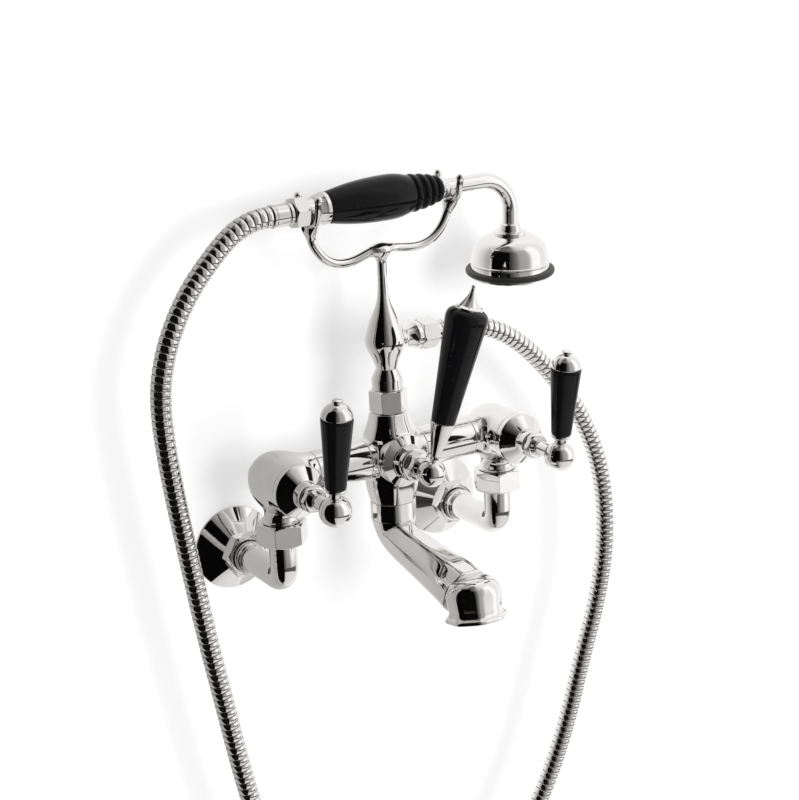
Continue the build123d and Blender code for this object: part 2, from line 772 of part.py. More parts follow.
with BuildPart() as riser_cradle:
    column = upright_plane(0)
    foot = riser_foot + seat
    lower, upper = outlet_height - nut_top, stem_top - outlet_height
    outline = [(0, riser_foot), (riser_thread - 0.2, riser_foot), (riser_thread - 0.2, foot)]
    outline += [(riser_spigot, foot), (riser_spigot, nut_top + gap), (vase_foot, nut_top + gap)]
    outline += [(vase_foot, nut_top + lower * 0.205), (bulb * 0.66, nut_top + lower * 0.32)]
    outline += [(bulb * 0.524, nut_top + lower * 0.436)]
    outline += [[(bulb * 0.616, nut_top + lower * 0.564), (bulb * 0.866, nut_top + lower * 0.795),
                 (bulb, outlet_height), (bulb * 0.884, outlet_height + upper * 0.136),
                 (bulb * 0.66, outlet_height + upper * 0.288),
                 (bulb * 0.384, outlet_height + upper * 0.448), (stem, outlet_height + upper * 0.758)]]
    outline += [(stem, stem_top), (stem * 1.56, stem_top + yoke_rod * 1.6)]
    outline += [(0, stem_top + yoke_rod * 1.6)]
    turned(column, outline)
    boss = sideways_plane(outlet_height)
    outline = [(0, 0), (outlet_neck, 0), (outlet_neck, outlet_reach_x * 0.33)]
    outline += [[(outlet_neck * 0.84, outlet_reach_x * 0.53), (outlet_ring, outlet_reach_x * 0.87)]]
    outline += [(outlet_ring, outlet_reach_x), (hose_thread, outlet_reach_x)]
    outline += [(hose_thread, outlet_reach_x + outlet_thread), (0, outlet_reach_x + outlet_thread)]
    turned(boss, outline)
    cradle_arm(arm_left, hook_left, neck_collar)
    cradle_arm(arm_right, hook_right, neck_ring)
    bar(column, riser_bore, riser_foot - 1, outlet_height, mode=Mode.SUBTRACT)
    bar(boss, riser_bore, 0, outlet_reach_x + outlet_thread + 1, mode=Mode.SUBTRACT)
save(riser_cradle, "riser_cradle")


# ---- washers and fixed discs

with BuildPart() as union_washers:
    for side in sides.values():
        x = side * inlet_centres / 2
        bar(forward_plane(x, 0), tail_barrel - 0.2, tail_nose, wall_seal, inner=tail_bore)
        bar(upright_plane(x), thread - 0.6, leg_top, leg_top + seal, inner=tail_bore)
    bar(upright_plane(0), riser_thread - 0.2, thread_top, riser_foot, inner=column_bore)
    bar(upright_plane(0), coupling - 0.2, drain_end - seal, drain_end, inner=drain_bore)
save(union_washers, "union_washers")

with BuildPart() as fixed_discs:
    valves = [(side * inlet_centres / 2, barrel_front) for side in sides.values()]
    for x, front in valves + [(0, front_face)]:
        valve_disc(forward_plane(x, valve_height), front - cartridge_depth + disc_seat, 90)
save(fixed_discs, "fixed_discs")


# ---- hose: one ribbed hose with a captive nut and a ferrule at each end


def hose_end(name, plane, start, thread_length, sleeve_length):
    """Washer, ferrule and captive nut from the end of a male thread; returns the hose's start."""
    flange_start = start + thread_length + seal
    flange_end = flange_start + hose_flange
    nut_end = flange_end + gap + lip
    sleeve_end = nut_end + gap + sleeve_length
    with BuildPart() as washer:
        bar(plane, hose_thread - 0.1, start + thread_length, flange_start, inner=riser_bore)
    save(washer, f"hose_{name}_washer")
    with BuildPart() as ferrule:
        outline = [(hose_bore, flange_start), (hose_thread - 0.1, flange_start)]
        outline += [(hose_thread - 0.1, flange_end), (hose_neck, flange_end), (hose_neck, nut_end + gap)]
        outline += [(sleeve, nut_end + gap), (sleeve, nut_end + 3), (sleeve - 0.9, nut_end + 3.6)]
        outline += [(sleeve - 0.9, sleeve_end - 2.6), (sleeve, sleeve_end - 2), (sleeve, sleeve_end)]
        outline += [(hose_bore, sleeve_end)]
        turned(plane, outline)
    save(ferrule, f"hose_{name}_ferrule")
    bores = [(hose_thread + slip, start - 1, flange_end + gap)]
    bores += [(hose_neck + slip, flange_end, nut_end + 1)]
    hexagon_nut(f"hose_{name}_nut", plane, hose_nut_flats, start, nut_end, bores, turn=14)
    return plane.origin + plane.y_dir * sleeve_end


outlet_end = hose_end(
    "outlet", sideways_plane(outlet_height), outlet_reach_x, outlet_thread, outlet_sleeve
)
handset_end = hose_end(
    "handset", handset_left_axis, -handset_nut_start, handset_thread, handset_sleeve
)

# Route of the hose in the plane of the legs, as (x, z) from the outlet down, round and up.
hose_route = [
    (72, 177), (94, 173), (117, 162), (140, 143), (165, 115), (188, 82), (206, 43), (215, 0),
    (215, -50), (205, -98), (187, -150), (170, -206), (147, -259), (117, -308), (76, -347),
    (27, -365), (-25, -362), (-69, -340), (-102, -301), (-126, -253), (-141, -201),
    (-152.5, -146), (-162, -88), (-172, -30), (-180.5, 30), (-188, 84), (-193, 130), (-194, 168),
    (-187.5, 197), (-177, 221), (-165, 240), (-153.5, 253.9), (-142.5, 266.1), (-134.5, 273.6),
    (-127, 279.1), (-119.2, 283.2), (-110.9, 286.1),
]
handset_run = 8.7  # straight run of the hose into the handset's ferrule
route = [outlet_end] + [Vector(x, -leg_reach, z) for x, z in hose_route]
route += [handset_end - handset_along * handset_run, handset_end]
runs = [b - a for a, b in zip(route, route[1:])]
hose_bends = []
for before, after in zip(runs, runs[1:]):
    half_turn = radians(before.get_angle(after)) / 2
    hose_bends.append(0.45 * min(before.length, after.length) / tan(half_turn))

with BuildPart() as hose:
    hose_line = rounded_route(route, hose_bends)
    rod(hose_line, hose_radius)
save(hose, "hose")
hose_length = hose_line.length
tube_volume = pi * hose_radius**2 * hose_length
print("hose length", round(hose_length, 1), "volume share", round(hose.part.volume / tube_volume, 5))
print("hose bends", [round(radius) for radius in hose_bends])
print("hose runs", [round(step.length) for step in runs])


# ---- handset: end collar, black grip on a brass core, gooseneck and rose

thread_end = handset_nut_start - handset_thread

with BuildPart() as handset_collar:
    outline = [(riser_bore, thread_end), (hose_thread, thread_end), (hose_thread, handset_nut_start)]
    outline += [(neck_collar, handset_nut_start), (neck_collar, grip_left - 11)]
    outline += [(neck_collar + 1, grip_left - 10), (neck_collar + 2.6, grip_left - 4.5)]
    outline += [(end_ferrule, grip_left - 3), (end_ferrule, grip_left)]
    outline += [(handset_core + slip, grip_left), (handset_core + slip, grip_left - core_socket)]
    outline += [(riser_bore, grip_left - core_socket)]
    turned(handset_axis, outline)
save(handset_collar, "handset_collar")

rib_places = [(24.5, 15.0), (16.5, 14.0), (9.5, 12.6), (3.0, 10.8)]  # from the right end, radius

with BuildPart() as handset_grip:
    core = handset_core + slip
    middle = grip_left + 0.5 * (grip_right - grip_left)
    outline = [(core, grip_left), (end_ferrule - 1.0, grip_left), (end_ferrule - 0.3, grip_left + 2)]
    outline += [[(grip_belly - 1.9, grip_left + 22), (grip_belly, middle),
                 (grip_belly - 0.7, middle + 13), (grip_belly - 3.2, grip_right - 28)]]
    for offset, radius in rib_places:
        centre = grip_right - offset
        outline += [(radius - 1.6, centre - 3)]
        outline += [[(radius, centre), (radius - 1.8, centre + 3)]]
    outline += [(core, grip_right)]
    turned(handset_axis, outline)
save(handset_grip, "handset_grip")

with BuildPart() as handset_tube:
    cone_start, cone_end = grip_right + cone_length * 0.18, grip_right + cone_length
    ring_end = cone_end + neck_ring * 0.2
    bar(handset_axis, handset_core, grip_left - core_socket + gap, grip_right)
    outline = [(0, grip_right), (cone_foot, grip_right), (cone_foot, cone_start)]
    outline += [(neck_ring, cone_end), (neck_ring, ring_end), (0, ring_end)]
    turned(handset_axis, outline)
    corner = handset_middle + handset_along * rose_reach
    tube_foot = corner + handset_down * tube_drop
    bend_path = [handset_middle + handset_along * (grip_right + 1), corner, tube_foot]
    neck_line = rounded_route(bend_path, gooseneck_bend)
    rod(neck_line, gooseneck)
    rod(neck_line, hose_bore, mode=Mode.SUBTRACT)
    bar(handset_axis, hose_bore, grip_left - core_socket - 1, grip_right + 2, mode=Mode.SUBTRACT)
save(handset_tube, "handset_tube")

rose_axis = turning_plane(tube_foot, -handset_down, handset_along)
rose_base = -31.5

with BuildPart() as rose_shell:
    socket = gooseneck + slip
    outline = [(hose_bore, -gap), (socket, -gap), (socket, 6)]
    outline += [(8.2, 5), (9.6, -0.6), (13.5, -1), (13.7, -2.2)]
    outline += [(13.2, -3.2), (14.6, -3.6)]
    outline += [[(rose * 0.617, -5.4), (rose * 0.802, -9.2), (rose * 0.907, -14),
                 (rose * 0.957, -20), (rose * 0.975, -25.4)]]
    outline += [(rose + 0.2, -26), (rose + 0.2, -27), (rose - 0.4, -27.4)]
    outline += [(rose, rose_base), (rose, rose_base - 4.5)]
    inside = rose - rose_wall - 0.6
    outline += [(inside, rose_base - 4.5), (inside, rose_base + 1), (inside - 0.6, -20)]
    outline += [[(rose * 0.756, -11.2), (rose * 0.4, -6.4)]]
    outline += [(hose_bore, -6.4)]
    turned(rose_axis, outline)
save(rose_shell, "rose_shell")

with BuildPart() as rose_ring:
    low = rose_base - 4.5
    outline = [(rose + slip, low), (rubber_ring - 1.2, low)]
    outline += [[(rubber_ring, low + 2.2), (rubber_ring - 1.2, rose_base)]]
    outline += [(rose + slip, rose_base)]
    turned(rose_axis, outline)
save(rose_ring, "rose_ring")

with BuildPart() as spray_plate:
    low = rose_base - 4.5
    outline = [(0, low - 2), (plate_rim - 0.8, low - 2), (plate_rim, low - 1.2), (plate_rim, low)]
    outline += [(inside - slip, low), (inside - slip, low + 4), (inside - 2.5, low + 4)]
    outline += [(inside - 2.5, low), (0, low)]
    turned(rose_axis, outline)
    below = rose_axis.origin + rose_axis.y_dir * (low - 3)
    with BuildSketch(Plane(origin=below, x_dir=rose_axis.x_dir, z_dir=rose_axis.y_dir)):
        for ring, count in ((0, 1), (7, 6), (14, 12), (21, 18)):
            with PolarLocations(ring, count):
                Circle(spray_hole)
    extrude(amount=4, mode=Mode.SUBTRACT)
save(spray_plate, "spray_plate")
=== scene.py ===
import json
import re

import bpy
import numpy as np
from mathutils import Matrix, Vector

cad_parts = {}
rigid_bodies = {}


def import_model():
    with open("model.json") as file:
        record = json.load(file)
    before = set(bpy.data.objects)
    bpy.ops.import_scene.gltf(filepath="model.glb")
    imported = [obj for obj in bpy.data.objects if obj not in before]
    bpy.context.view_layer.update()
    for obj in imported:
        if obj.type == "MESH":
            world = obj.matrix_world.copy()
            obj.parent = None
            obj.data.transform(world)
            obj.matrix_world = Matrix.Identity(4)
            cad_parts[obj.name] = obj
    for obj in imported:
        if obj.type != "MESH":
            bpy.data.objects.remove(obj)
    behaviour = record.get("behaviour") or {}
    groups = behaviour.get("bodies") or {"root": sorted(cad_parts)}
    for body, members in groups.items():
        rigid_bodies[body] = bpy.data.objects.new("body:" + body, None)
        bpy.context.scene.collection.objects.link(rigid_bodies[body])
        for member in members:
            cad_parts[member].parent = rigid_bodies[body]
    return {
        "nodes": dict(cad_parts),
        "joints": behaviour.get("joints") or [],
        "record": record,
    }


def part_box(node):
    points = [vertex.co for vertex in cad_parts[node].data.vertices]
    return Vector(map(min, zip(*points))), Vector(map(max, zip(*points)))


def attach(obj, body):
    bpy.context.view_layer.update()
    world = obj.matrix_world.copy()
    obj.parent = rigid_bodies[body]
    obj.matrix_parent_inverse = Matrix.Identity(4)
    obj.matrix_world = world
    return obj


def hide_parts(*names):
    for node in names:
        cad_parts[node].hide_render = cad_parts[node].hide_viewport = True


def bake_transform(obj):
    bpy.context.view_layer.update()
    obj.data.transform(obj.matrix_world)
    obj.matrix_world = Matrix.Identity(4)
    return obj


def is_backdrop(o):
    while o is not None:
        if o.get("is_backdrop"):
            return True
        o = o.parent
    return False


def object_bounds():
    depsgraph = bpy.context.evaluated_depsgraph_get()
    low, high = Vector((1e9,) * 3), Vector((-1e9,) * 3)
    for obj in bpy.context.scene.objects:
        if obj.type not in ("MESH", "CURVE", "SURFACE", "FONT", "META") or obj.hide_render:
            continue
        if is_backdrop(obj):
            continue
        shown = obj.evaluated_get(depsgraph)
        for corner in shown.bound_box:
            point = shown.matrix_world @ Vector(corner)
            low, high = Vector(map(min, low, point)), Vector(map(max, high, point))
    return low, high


for leftover in list(bpy.data.objects):
    bpy.data.objects.remove(leftover)
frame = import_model()
cadBounds = [list(corner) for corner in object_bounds()]
print("frame loaded:", len(frame["nodes"]), "nodes")

# Places come from the frame. Lengths are millimetres until a mesh is made.
mm = 0.001
jointPlace = {j["name"]: np.array(j["pos_m"]) / mm for j in frame["joints"] if "pos_m" in j}


def middleOf(node):
    # middle of a CAD node's box
    low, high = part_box(node)
    return (np.array(low) + np.array(high)) / 2 / mm


leftHub, rightHub = jointPlace["lever_left_turn"], jointPlace["lever_right_turn"]
inletX = rightHub[0]
valveHeight = rightHub[2]
legReach = -middleOf("right_union_nut")[1]
sides = {"left": -1, "right": 1}


def unit(vector):
    # the same direction with length 1
    return np.asarray(vector, float) / np.linalg.norm(vector)


def axesMatrix(right, up, back, place):
    # matrix of an object with these three axes at a place in millimetres
    turn = np.eye(4)
    turn[:3, 0], turn[:3, 1], turn[:3, 2], turn[:3, 3] = right, up, back, np.array(place) * mm
    return Matrix(turn.tolist())


camera = {
    "place": (-666.6, -1226.8, 518.0),
    "right": (0.85131, -0.52282, -0.04396),
    "up": (0.18480, 0.22039, 0.95775),
    "lens": 77.8,
}


def makeCamera():
    # camera in front of the object's left, a little above it
    data = bpy.data.cameras.new("camera")
    data.lens = camera["lens"]
    eye = bpy.data.objects.new("camera", data)
    bpy.context.scene.collection.objects.link(eye)
    right, up = unit(camera["right"]), unit(camera["up"])
    eye.matrix_world = axesMatrix(right, up, np.cross(right, up), camera["place"])
    bpy.context.scene.camera = eye


makeCamera()
print("camera set")


# A surface is (points, quads, triangles, normals), in millimetres.


def arcThrough(a, b, c, count=17):
    # circle through three points of a plane, sampled from a by b to c
    a, b, c = (np.asarray(p, float) for p in (a, b, c))
    system = 2 * np.array([b - a, c - a])
    centre = np.linalg.solve(system, [b @ b - a @ a, c @ c - a @ a])
    angles = [np.arctan2(*(p - centre)[::-1]) for p in (a, b, c)]
    sweep = (angles[2] - angles[0]) % (2 * np.pi)
    if (angles[1] - angles[0]) % (2 * np.pi) > sweep:  # b lies on the other way round
        sweep -= 2 * np.pi
    angle = angles[0] + np.linspace(0, 1, count) * sweep
    radius = np.linalg.norm(a - centre)
    return centre + radius * np.stack([np.cos(angle), np.sin(angle)], 1)


def smoothThrough(knots, step=0.8):
    # natural cubic spline through the knots, with chord lengths as its parameter
    knots = np.asarray(knots, float)
    chord = np.linalg.norm(np.diff(knots, axis=0), axis=1)
    place = np.concatenate([[0], np.cumsum(chord)])
    size = len(knots)
    system, right = np.eye(size), np.zeros(knots.shape)
    for i in range(1, size - 1):
        system[i, i - 1 : i + 2] = chord[i - 1], 2 * (chord[i - 1] + chord[i]), chord[i]
        right[i] = 6 * ((knots[i + 1] - knots[i]) / chord[i] - (knots[i] - knots[i - 1]) / chord[i - 1])
    bending = np.linalg.solve(system, right)
    at = np.linspace(0, place[-1], max(6, int(place[-1] / step)))
    i = np.clip(np.searchsorted(place, at, side="right") - 1, 0, size - 2)
    before, after, gap = (at - place[i])[:, None], (place[i + 1] - at)[:, None], chord[i][:, None]
    curve = (bending[i] * after**3 + bending[i + 1] * before**3) / (6 * gap)
    curve += (knots[i] / gap - bending[i] * gap / 6) * after
    curve += (knots[i + 1] / gap - bending[i + 1] * gap / 6) * before
    return curve


def trimmed(line, start, end):
    # the polyline without a length at its start and at its end
    length = np.concatenate([[0], np.cumsum(np.linalg.norm(np.diff(line, axis=0), axis=1))])
    low, high = start, length[-1] - end
    cut = lambda at: [np.interp(at, length, line[:, k]) for k in range(line.shape[1])]
    keep = (length > low + 1e-6) & (length < high - 1e-6)
    return np.vstack([cut(low), line[keep], cut(high)])


straightOn = 0.985  # cosine of the bend between two lines that still counts as none
cornerShare = 0.4  # most of a line that the rounding of a corner may use up


def softOutline(outline, edge):
    # outline of (radius, station): a point is a line, a list of two an arc, a longer list a spline;
    # each corner becomes a small curve that leaves both of its lines at the length edge
    parts, here = [], outline[0]
    for step in outline[1:]:
        if isinstance(step, tuple):
            parts.append(np.array([here, step], float))
            here = step
        else:
            knots = [here] + list(step)
            parts.append(arcThrough(*knots) if len(step) == 2 else smoothThrough(knots))
            here = step[-1]
    closed = np.allclose(outline[0], here)
    heading = [(unit(p[1] - p[0]), unit(p[-1] - p[-2])) for p in parts]
    size = [np.linalg.norm(np.diff(p, axis=0), axis=1).sum() for p in parts]
    count = len(parts)
    cut = np.zeros(count + 1)  # what is cut at the corner before each part
    for i in range(count + 1):
        if not closed and i in (0, count):
            continue
        before, after = (i - 1) % count, i % count
        if heading[before][1] @ heading[after][0] < straightOn:
            cut[i] = min(edge, cornerShare * size[before], cornerShare * size[after])
    share = np.array([0.25, 0.5, 0.75])[:, None]
    line = []
    for i, part in enumerate(parts):
        piece = trimmed(part, cut[i], cut[i + 1])
        line.append(piece if i == 0 or cut[i] else piece[1:])
        if cut[i + 1] and (i + 1 < count or closed):
            corner = part[-1]
            following = parts[(i + 1) % count]
            end = trimmed(following, cut[(i + 1) % count if i + 1 < count else 0], 0)[0]
            start = piece[-1]
            line.append((1 - share) ** 2 * start + 2 * share * (1 - share) * corner + share**2 * end)
    line = np.vstack(line)
    return np.vstack([line, line[:1]]) if closed else line


def straightPath(origin, along, across):
    # station s is origin + s times along, and rings start at across
    origin, along, across = np.array(origin, float), unit(along), unit(across)

    def at(station):
        # centres of the rings, and the two directions that each ring's plane has
        centre = origin + station[:, None] * along
        shape = centre.shape
        return centre, np.broadcast_to(across, shape), np.broadcast_to(np.cross(along, across), shape)

    return at


def bentPath(start, corner, end, bend):
    # two straight runs joined by an arc; a station is the length from start
    start, corner, end = (np.array(p, float) for p in (start, corner, end))
    first, second = unit(corner - start), unit(end - corner)
    sweep = np.arccos(first @ second)
    inward = unit(second - (second @ first) * first)
    bendStart = np.linalg.norm(corner - start) - bend * np.tan(sweep / 2)

    def at(station):
        # run before the bend, angle turned in it, and run after it, added up
        angle = np.clip((station - bendStart) / bend, 0, sweep)[:, None]
        before = np.minimum(station, bendStart)[:, None]
        after = np.maximum(station - bendStart - bend * sweep, 0)[:, None]
        centre = start + before * first + after * second
        centre = centre + bend * (np.sin(angle) * first + (1 - np.cos(angle)) * inward)
        across = np.cos(angle) * inward - np.sin(angle) * first
        return centre, across, np.broadcast_to(np.cross(first, inward), centre.shape)

    at.length = bendStart + bend * sweep + np.linalg.norm(end - corner) - bend * np.tan(sweep / 2)
    return at


def shaded(points, quads, tris):
    # a point's normal is the sum of the area vectors of the faces round it
    normals = np.zeros(points.shape)
    for faces in (quads, tris):
        if len(faces):
            last = faces[:, 3] if faces.shape[1] == 4 else faces[:, 0]
            area = np.cross(points[faces[:, 2]] - points[faces[:, 0]], points[last] - points[faces[:, 1]])
            for k in range(faces.shape[1]):
                np.add.at(normals, faces[:, k], area)
    return normals / np.maximum(np.linalg.norm(normals, axis=1, keepdims=True), 1e-12)


def gridSurface(points, poles=(False, False), loop=False):
    # rows of rings: faces between neighbours, a pole where a ring has no size, rows joined up by loop
    rows, count = points.shape[:2]
    index = np.arange(rows * count).reshape(rows, count)
    if poles[0]:
        index[0] = index[0, 0]
    if poles[1]:
        index[-1] = index[-1, 0]
    if loop:
        index[-1] = index[0]
    following = np.roll(index, -1, axis=1)
    faces = np.stack([index[:-1], following[:-1], following[1:], index[1:]], -1).reshape(-1, 4)
    low, high = faces[:, 0] == faces[:, 1], faces[:, 2] == faces[:, 3]
    quads = faces[~low & ~high]
    tris = np.vstack([faces[low][:, [0, 2, 3]], faces[high][:, :3]])
    flat = points.reshape(-1, 3)
    used, back = np.unique(np.concatenate([quads.ravel(), tris.ravel()]), return_inverse=True)
    flat, back = flat[used], back.ravel()
    quads, tris = back[: quads.size].reshape(-1, 4), back[quads.size :].reshape(-1, 3)
    return flat, quads, tris, shaded(flat, quads, tris)


def turned(outline, path, edge=0.35, count=96, step=None):
    # surface of revolution about a straight or bent path: the outline gives radius and station
    line = softOutline(outline, edge)
    if step:
        line = np.vstack([np.linspace(a, b, max(2, int(np.linalg.norm(b - a) / step) + 2))[:-1]
                          for a, b in zip(line, line[1:])] + [line[-1:]])
    angle = np.linspace(0, 2 * np.pi, count, endpoint=False)[None, :, None]
    centre, across, side = path(line[:, 1])
    ring = np.cos(angle) * across[:, None] + np.sin(angle) * side[:, None]
    points = centre[:, None] + line[:, 0][:, None, None] * ring
    poles = (line[0, 0] < 1e-6, line[-1, 0] < 1e-6)
    return gridSurface(points, poles, loop=np.allclose(line[0], line[-1]) and not poles[0])


def softened(corners, edge):
    # every inner corner of many outlines at once becomes five points of a small curve
    before, corner, after = corners[:, :-2], corners[:, 1:-1], corners[:, 2:]
    back, ahead = before - corner, after - corner
    backSize = np.linalg.norm(back, axis=2, keepdims=True)
    aheadSize = np.linalg.norm(ahead, axis=2, keepdims=True)
    reach = np.minimum(edge, cornerShare * np.minimum(backSize, aheadSize))
    start = corner + back / np.maximum(backSize, 1e-9) * reach
    end = corner + ahead / np.maximum(aheadSize, 1e-9) * reach
    share = np.array([0, 0.25, 0.5, 0.75, 1])[None, None, :, None]
    curve = (1 - share) ** 2 * start[:, :, None] + 2 * share * (1 - share) * corner[:, :, None]
    curve = curve + share**2 * end[:, :, None]
    inner = curve.reshape(len(corners), -1, 2)
    return np.concatenate([corners[:, :1], inner, corners[:, -1:]], axis=1)


def polygonRing(sideCount, flats, corner, turn, perFlat=6):
    # polygon with rounded corners: flat edges and small arcs between them, as points of a plane
    half = flats / 2
    halfEdge = half * np.tan(np.pi / sideCount)
    flat = np.linspace(-1, 1, perFlat) * (halfEdge - corner * np.tan(np.pi / sideCount))
    arc = np.linspace(-0.5, 0.5, 7)[1:-1] * 2 * np.pi / sideCount
    points = []
    for k in range(sideCount):
        angle = turn + 2 * np.pi * k / sideCount
        out, on = np.array([np.cos(angle), np.sin(angle)]), np.array([-np.sin(angle), np.cos(angle)])
        points.append(half * out + flat[:, None] * on)
        middle = (half - corner) * out + (halfEdge - corner * np.tan(np.pi / sideCount)) * on
        bearing = angle + np.pi / sideCount + arc
        points.append(middle + corner * np.stack([np.cos(bearing), np.sin(bearing)], 1))
    return np.vstack(points)


nutShape = {"corner": 0.5, "chamferShare": 0.965, "chamfer": 30.0}  # share of half the flats, degrees


def polygonBar(path, ring, radii, stations, edge):
    # straight bar on a ring: each direction has its own profile of radii and stations
    profile = softened(np.stack([np.stack(radii, 1), np.stack(stations, 1)], 2), edge)
    centre, across, side = path(profile[..., 1].ravel())
    bearing = (ring / np.linalg.norm(ring, axis=1)[:, None])[:, None]
    shape = profile.shape[:2] + (3,)
    around = bearing[..., :1] * across.reshape(shape) + bearing[..., 1:] * side.reshape(shape)
    points = (centre.reshape(shape) + profile[..., :1] * around).transpose(1, 0, 2)
    return gridSurface(np.concatenate([points, points[:1]]), loop=True)


def hexagonNut(path, flats, low, high, bores, turn=0.0, edge=0.3):
    # hexagon with turned chamfers, whose profile runs from bore to bore
    ring = polygonRing(6, flats, nutShape["corner"], np.radians(turn))
    radius = np.linalg.norm(ring, axis=1)
    chamferStart = flats / 2 * nutShape["chamferShare"]
    drop = (radius - chamferStart) * np.tan(np.radians(nutShape["chamfer"]))
    ones = np.ones(len(ring))
    stations = [low * ones, low * ones, low + drop, high - drop, high * ones, high * ones]
    radii = [bores[0] * ones, chamferStart * ones, radius, radius, chamferStart * ones, bores[1] * ones]
    return polygonBar(path, ring, radii, stations, edge)


def combined(*surfaces):
    # several surfaces as one, with the later ones' faces counted on
    points, quads, tris, normals, before = [], [], [], [], 0
    for p, q, t, n in surfaces:
        points.append(p)
        quads.append(q + before)
        tris.append(t + before)
        normals.append(n)
        before += len(p)
    return np.vstack(points), np.vstack(quads), np.vstack(tris), np.vstack(normals)


def smoothJoin(a, b, blend):
    # smaller of two distances, rounded where they are alike
    share = np.clip(0.5 + 0.5 * (b - a) / blend, 0, 1)
    return b * (1 - share) + a * share - blend * share * (1 - share)


def smoothCut(a, b, blend):
    # larger of two distances, rounded where they are alike
    return -smoothJoin(-a, -b, blend)


slopeReach = 0.02  # half the length over which a field's slope is taken


def casting(field, low, high, cell):
    # skin where field is 0: one point for each cell that it crosses, moved onto it along its slope
    axes = [np.arange(a, b + cell, cell) for a, b in zip(low, high)]
    value = field(np.stack(np.meshgrid(*axes, indexing="ij"), -1))
    inside = value < 0
    shape = np.array(value.shape) - 1
    steps = [(i, j, k) for i in (0, 1) for j in (0, 1) for k in (0, 1)]
    corner = lambda grid, s: grid[tuple(slice(o, o + n) for o, n in zip(s, shape))]
    total, count = np.zeros(tuple(shape) + (3,)), np.zeros(shape)
    for s in steps:
        for axis in range(3):
            if s[axis]:
                continue
            t = tuple(o + (k == axis) for k, o in enumerate(s))
            a, b = corner(value, s), corner(value, t)
            crossed = corner(inside, s) != corner(inside, t)
            share = np.where(crossed, a / np.where(crossed, a - b, 1), 0)
            place = np.zeros(tuple(shape) + (3,))
            place[...] = s
            place[..., axis] = share
            total += np.where(crossed[..., None], place, 0)
            count += crossed
    mixed = count > 0
    where = np.argwhere(mixed)
    points = np.array(low) + cell * (where + total[mixed] / count[mixed][:, None])
    number = np.full(shape, -1)
    number[mixed] = np.arange(len(points))

    def slope(at):
        # difference of the field a little to both sides, along each axis
        offsets = np.eye(3) * slopeReach
        return np.stack([(field(at + o) - field(at - o)) / (2 * slopeReach) for o in offsets], -1)

    for _ in range(5):  # Newton steps
        rise = slope(points)
        points = points - rise * (field(points) / np.maximum((rise**2).sum(-1), 1e-9))[:, None]
    quads = []
    for axis in range(3):
        p, q = (axis + 1) % 3, (axis + 2) % 3
        start = inside[tuple(slice(0, n) for n in shape)]
        end = inside[tuple(slice(int(k == axis), n + int(k == axis)) for k, n in enumerate(shape))]
        for leaving in (True, False):
            nodes = np.argwhere((start != end) & (start == leaving))
            nodes = nodes[(nodes[:, p] > 0) & (nodes[:, q] > 0)]
            around = []
            for dp, dq in ((-1, -1), (0, -1), (0, 0), (-1, 0)):
                cellAt = nodes.copy()
                cellAt[:, p] += dp
                cellAt[:, q] += dq
                around.append(number[tuple(cellAt.T)])
            face = np.stack(around, 1)
            quads.append(face if leaving else face[:, ::-1])
    rise = slope(points)
    normals = rise / np.maximum(np.linalg.norm(rise, axis=1, keepdims=True), 1e-9)
    return points, np.vstack(quads), np.zeros((0, 3), int), normals


looks = {}
slotLooks = {
    "chrome": "polishedChrome", "hose": "chromedHose", "black_grip": "blackEnamel",
    "black_rubber": "blackRubber", "seal": "sealRubber", "ceramic": "whiteCeramic", "brass": "turnedBrass",
}


def addPiece(name, surface, body="root", slot="chrome", cadNode=None):
    # the piece as an object at the origin, riding on its body, if it names one, with its slot's look;
    # it stands for a CAD node, which has the same name in small letters unless another is given
    points, quads, tris, normals = surface
    mesh = bpy.data.meshes.new(name)
    corners = np.concatenate([quads.ravel(), tris.ravel()]).astype(np.int32)
    starts = np.concatenate([np.arange(len(quads)) * 4, quads.size + np.arange(len(tris)) * 3])
    mesh.vertices.add(len(points))
    mesh.vertices.foreach_set("co", (points * mm).astype(np.float32).ravel())
    mesh.loops.add(len(corners))
    mesh.loops.foreach_set("vertex_index", corners)
    mesh.polygons.add(len(starts))
    mesh.polygons.foreach_set("loop_start", starts.astype(np.int32))
    mesh.polygons.foreach_set("use_smooth", np.ones(len(starts), bool))
    mesh.update(calc_edges=True)
    mesh.validate()
    mesh.normals_split_custom_set_from_vertices(normals.tolist())
    mesh.materials.append(looks[slotLooks[slot]])
    piece = bpy.data.objects.new(name, mesh)
    bpy.context.scene.collection.objects.link(piece)
    if body:
        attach(piece, body)
    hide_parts(cadNode or re.sub("([A-Z])", r"_\1", name).lower())
    return piece


# Materials. A shade is how light a grey looks on the screen, from 0 to 1.
finish = {
    "chromeBright": (0.84, 0.83, 0.82), "chromeDull": (0.70, 0.685, 0.67), "chromeRoughness": 0.03,
    "chromeSmudges": (0.35, 0.045), "chromeWipes": 0.02,  # share of the dull colour, added roughness
    # the hose's grooves: colour of the painted shade in them, the share of it that is mixed in, and the
    # roughness added there
    "hoseRoughness": 0.09, "grooveShade": (0.10, 0.098, 0.095), "grooveShading": (0.8, 0.3),
    "enamel": (0.0035, 0.0035, 0.004), "enamelRoughness": 0.06, "enamelSpecular": 0.18,
    "enamelSmudges": 0.07, "dust": (0.3, 0.29, 0.27), "dustShare": 0.12, "dustScale": 420.0,
    "rubber": (0.013, 0.0125, 0.012), "seal": (0.05, 0.05, 0.05),
    "brass": (0.78, 0.60, 0.31), "ceramic": (0.88, 0.86, 0.82),
    "dullScale": 30.0, "dullSmudges": 0.5, "dullWipes": 0.12,
}


def fillInputs(tree, made, inputs):
    # each input of a node takes a number or another node's socket
    for name, value in inputs.items():
        if isinstance(value, bpy.types.NodeSocket):
            tree.links.new(value, made.inputs[name])
        else:
            made.inputs[name].default_value = value


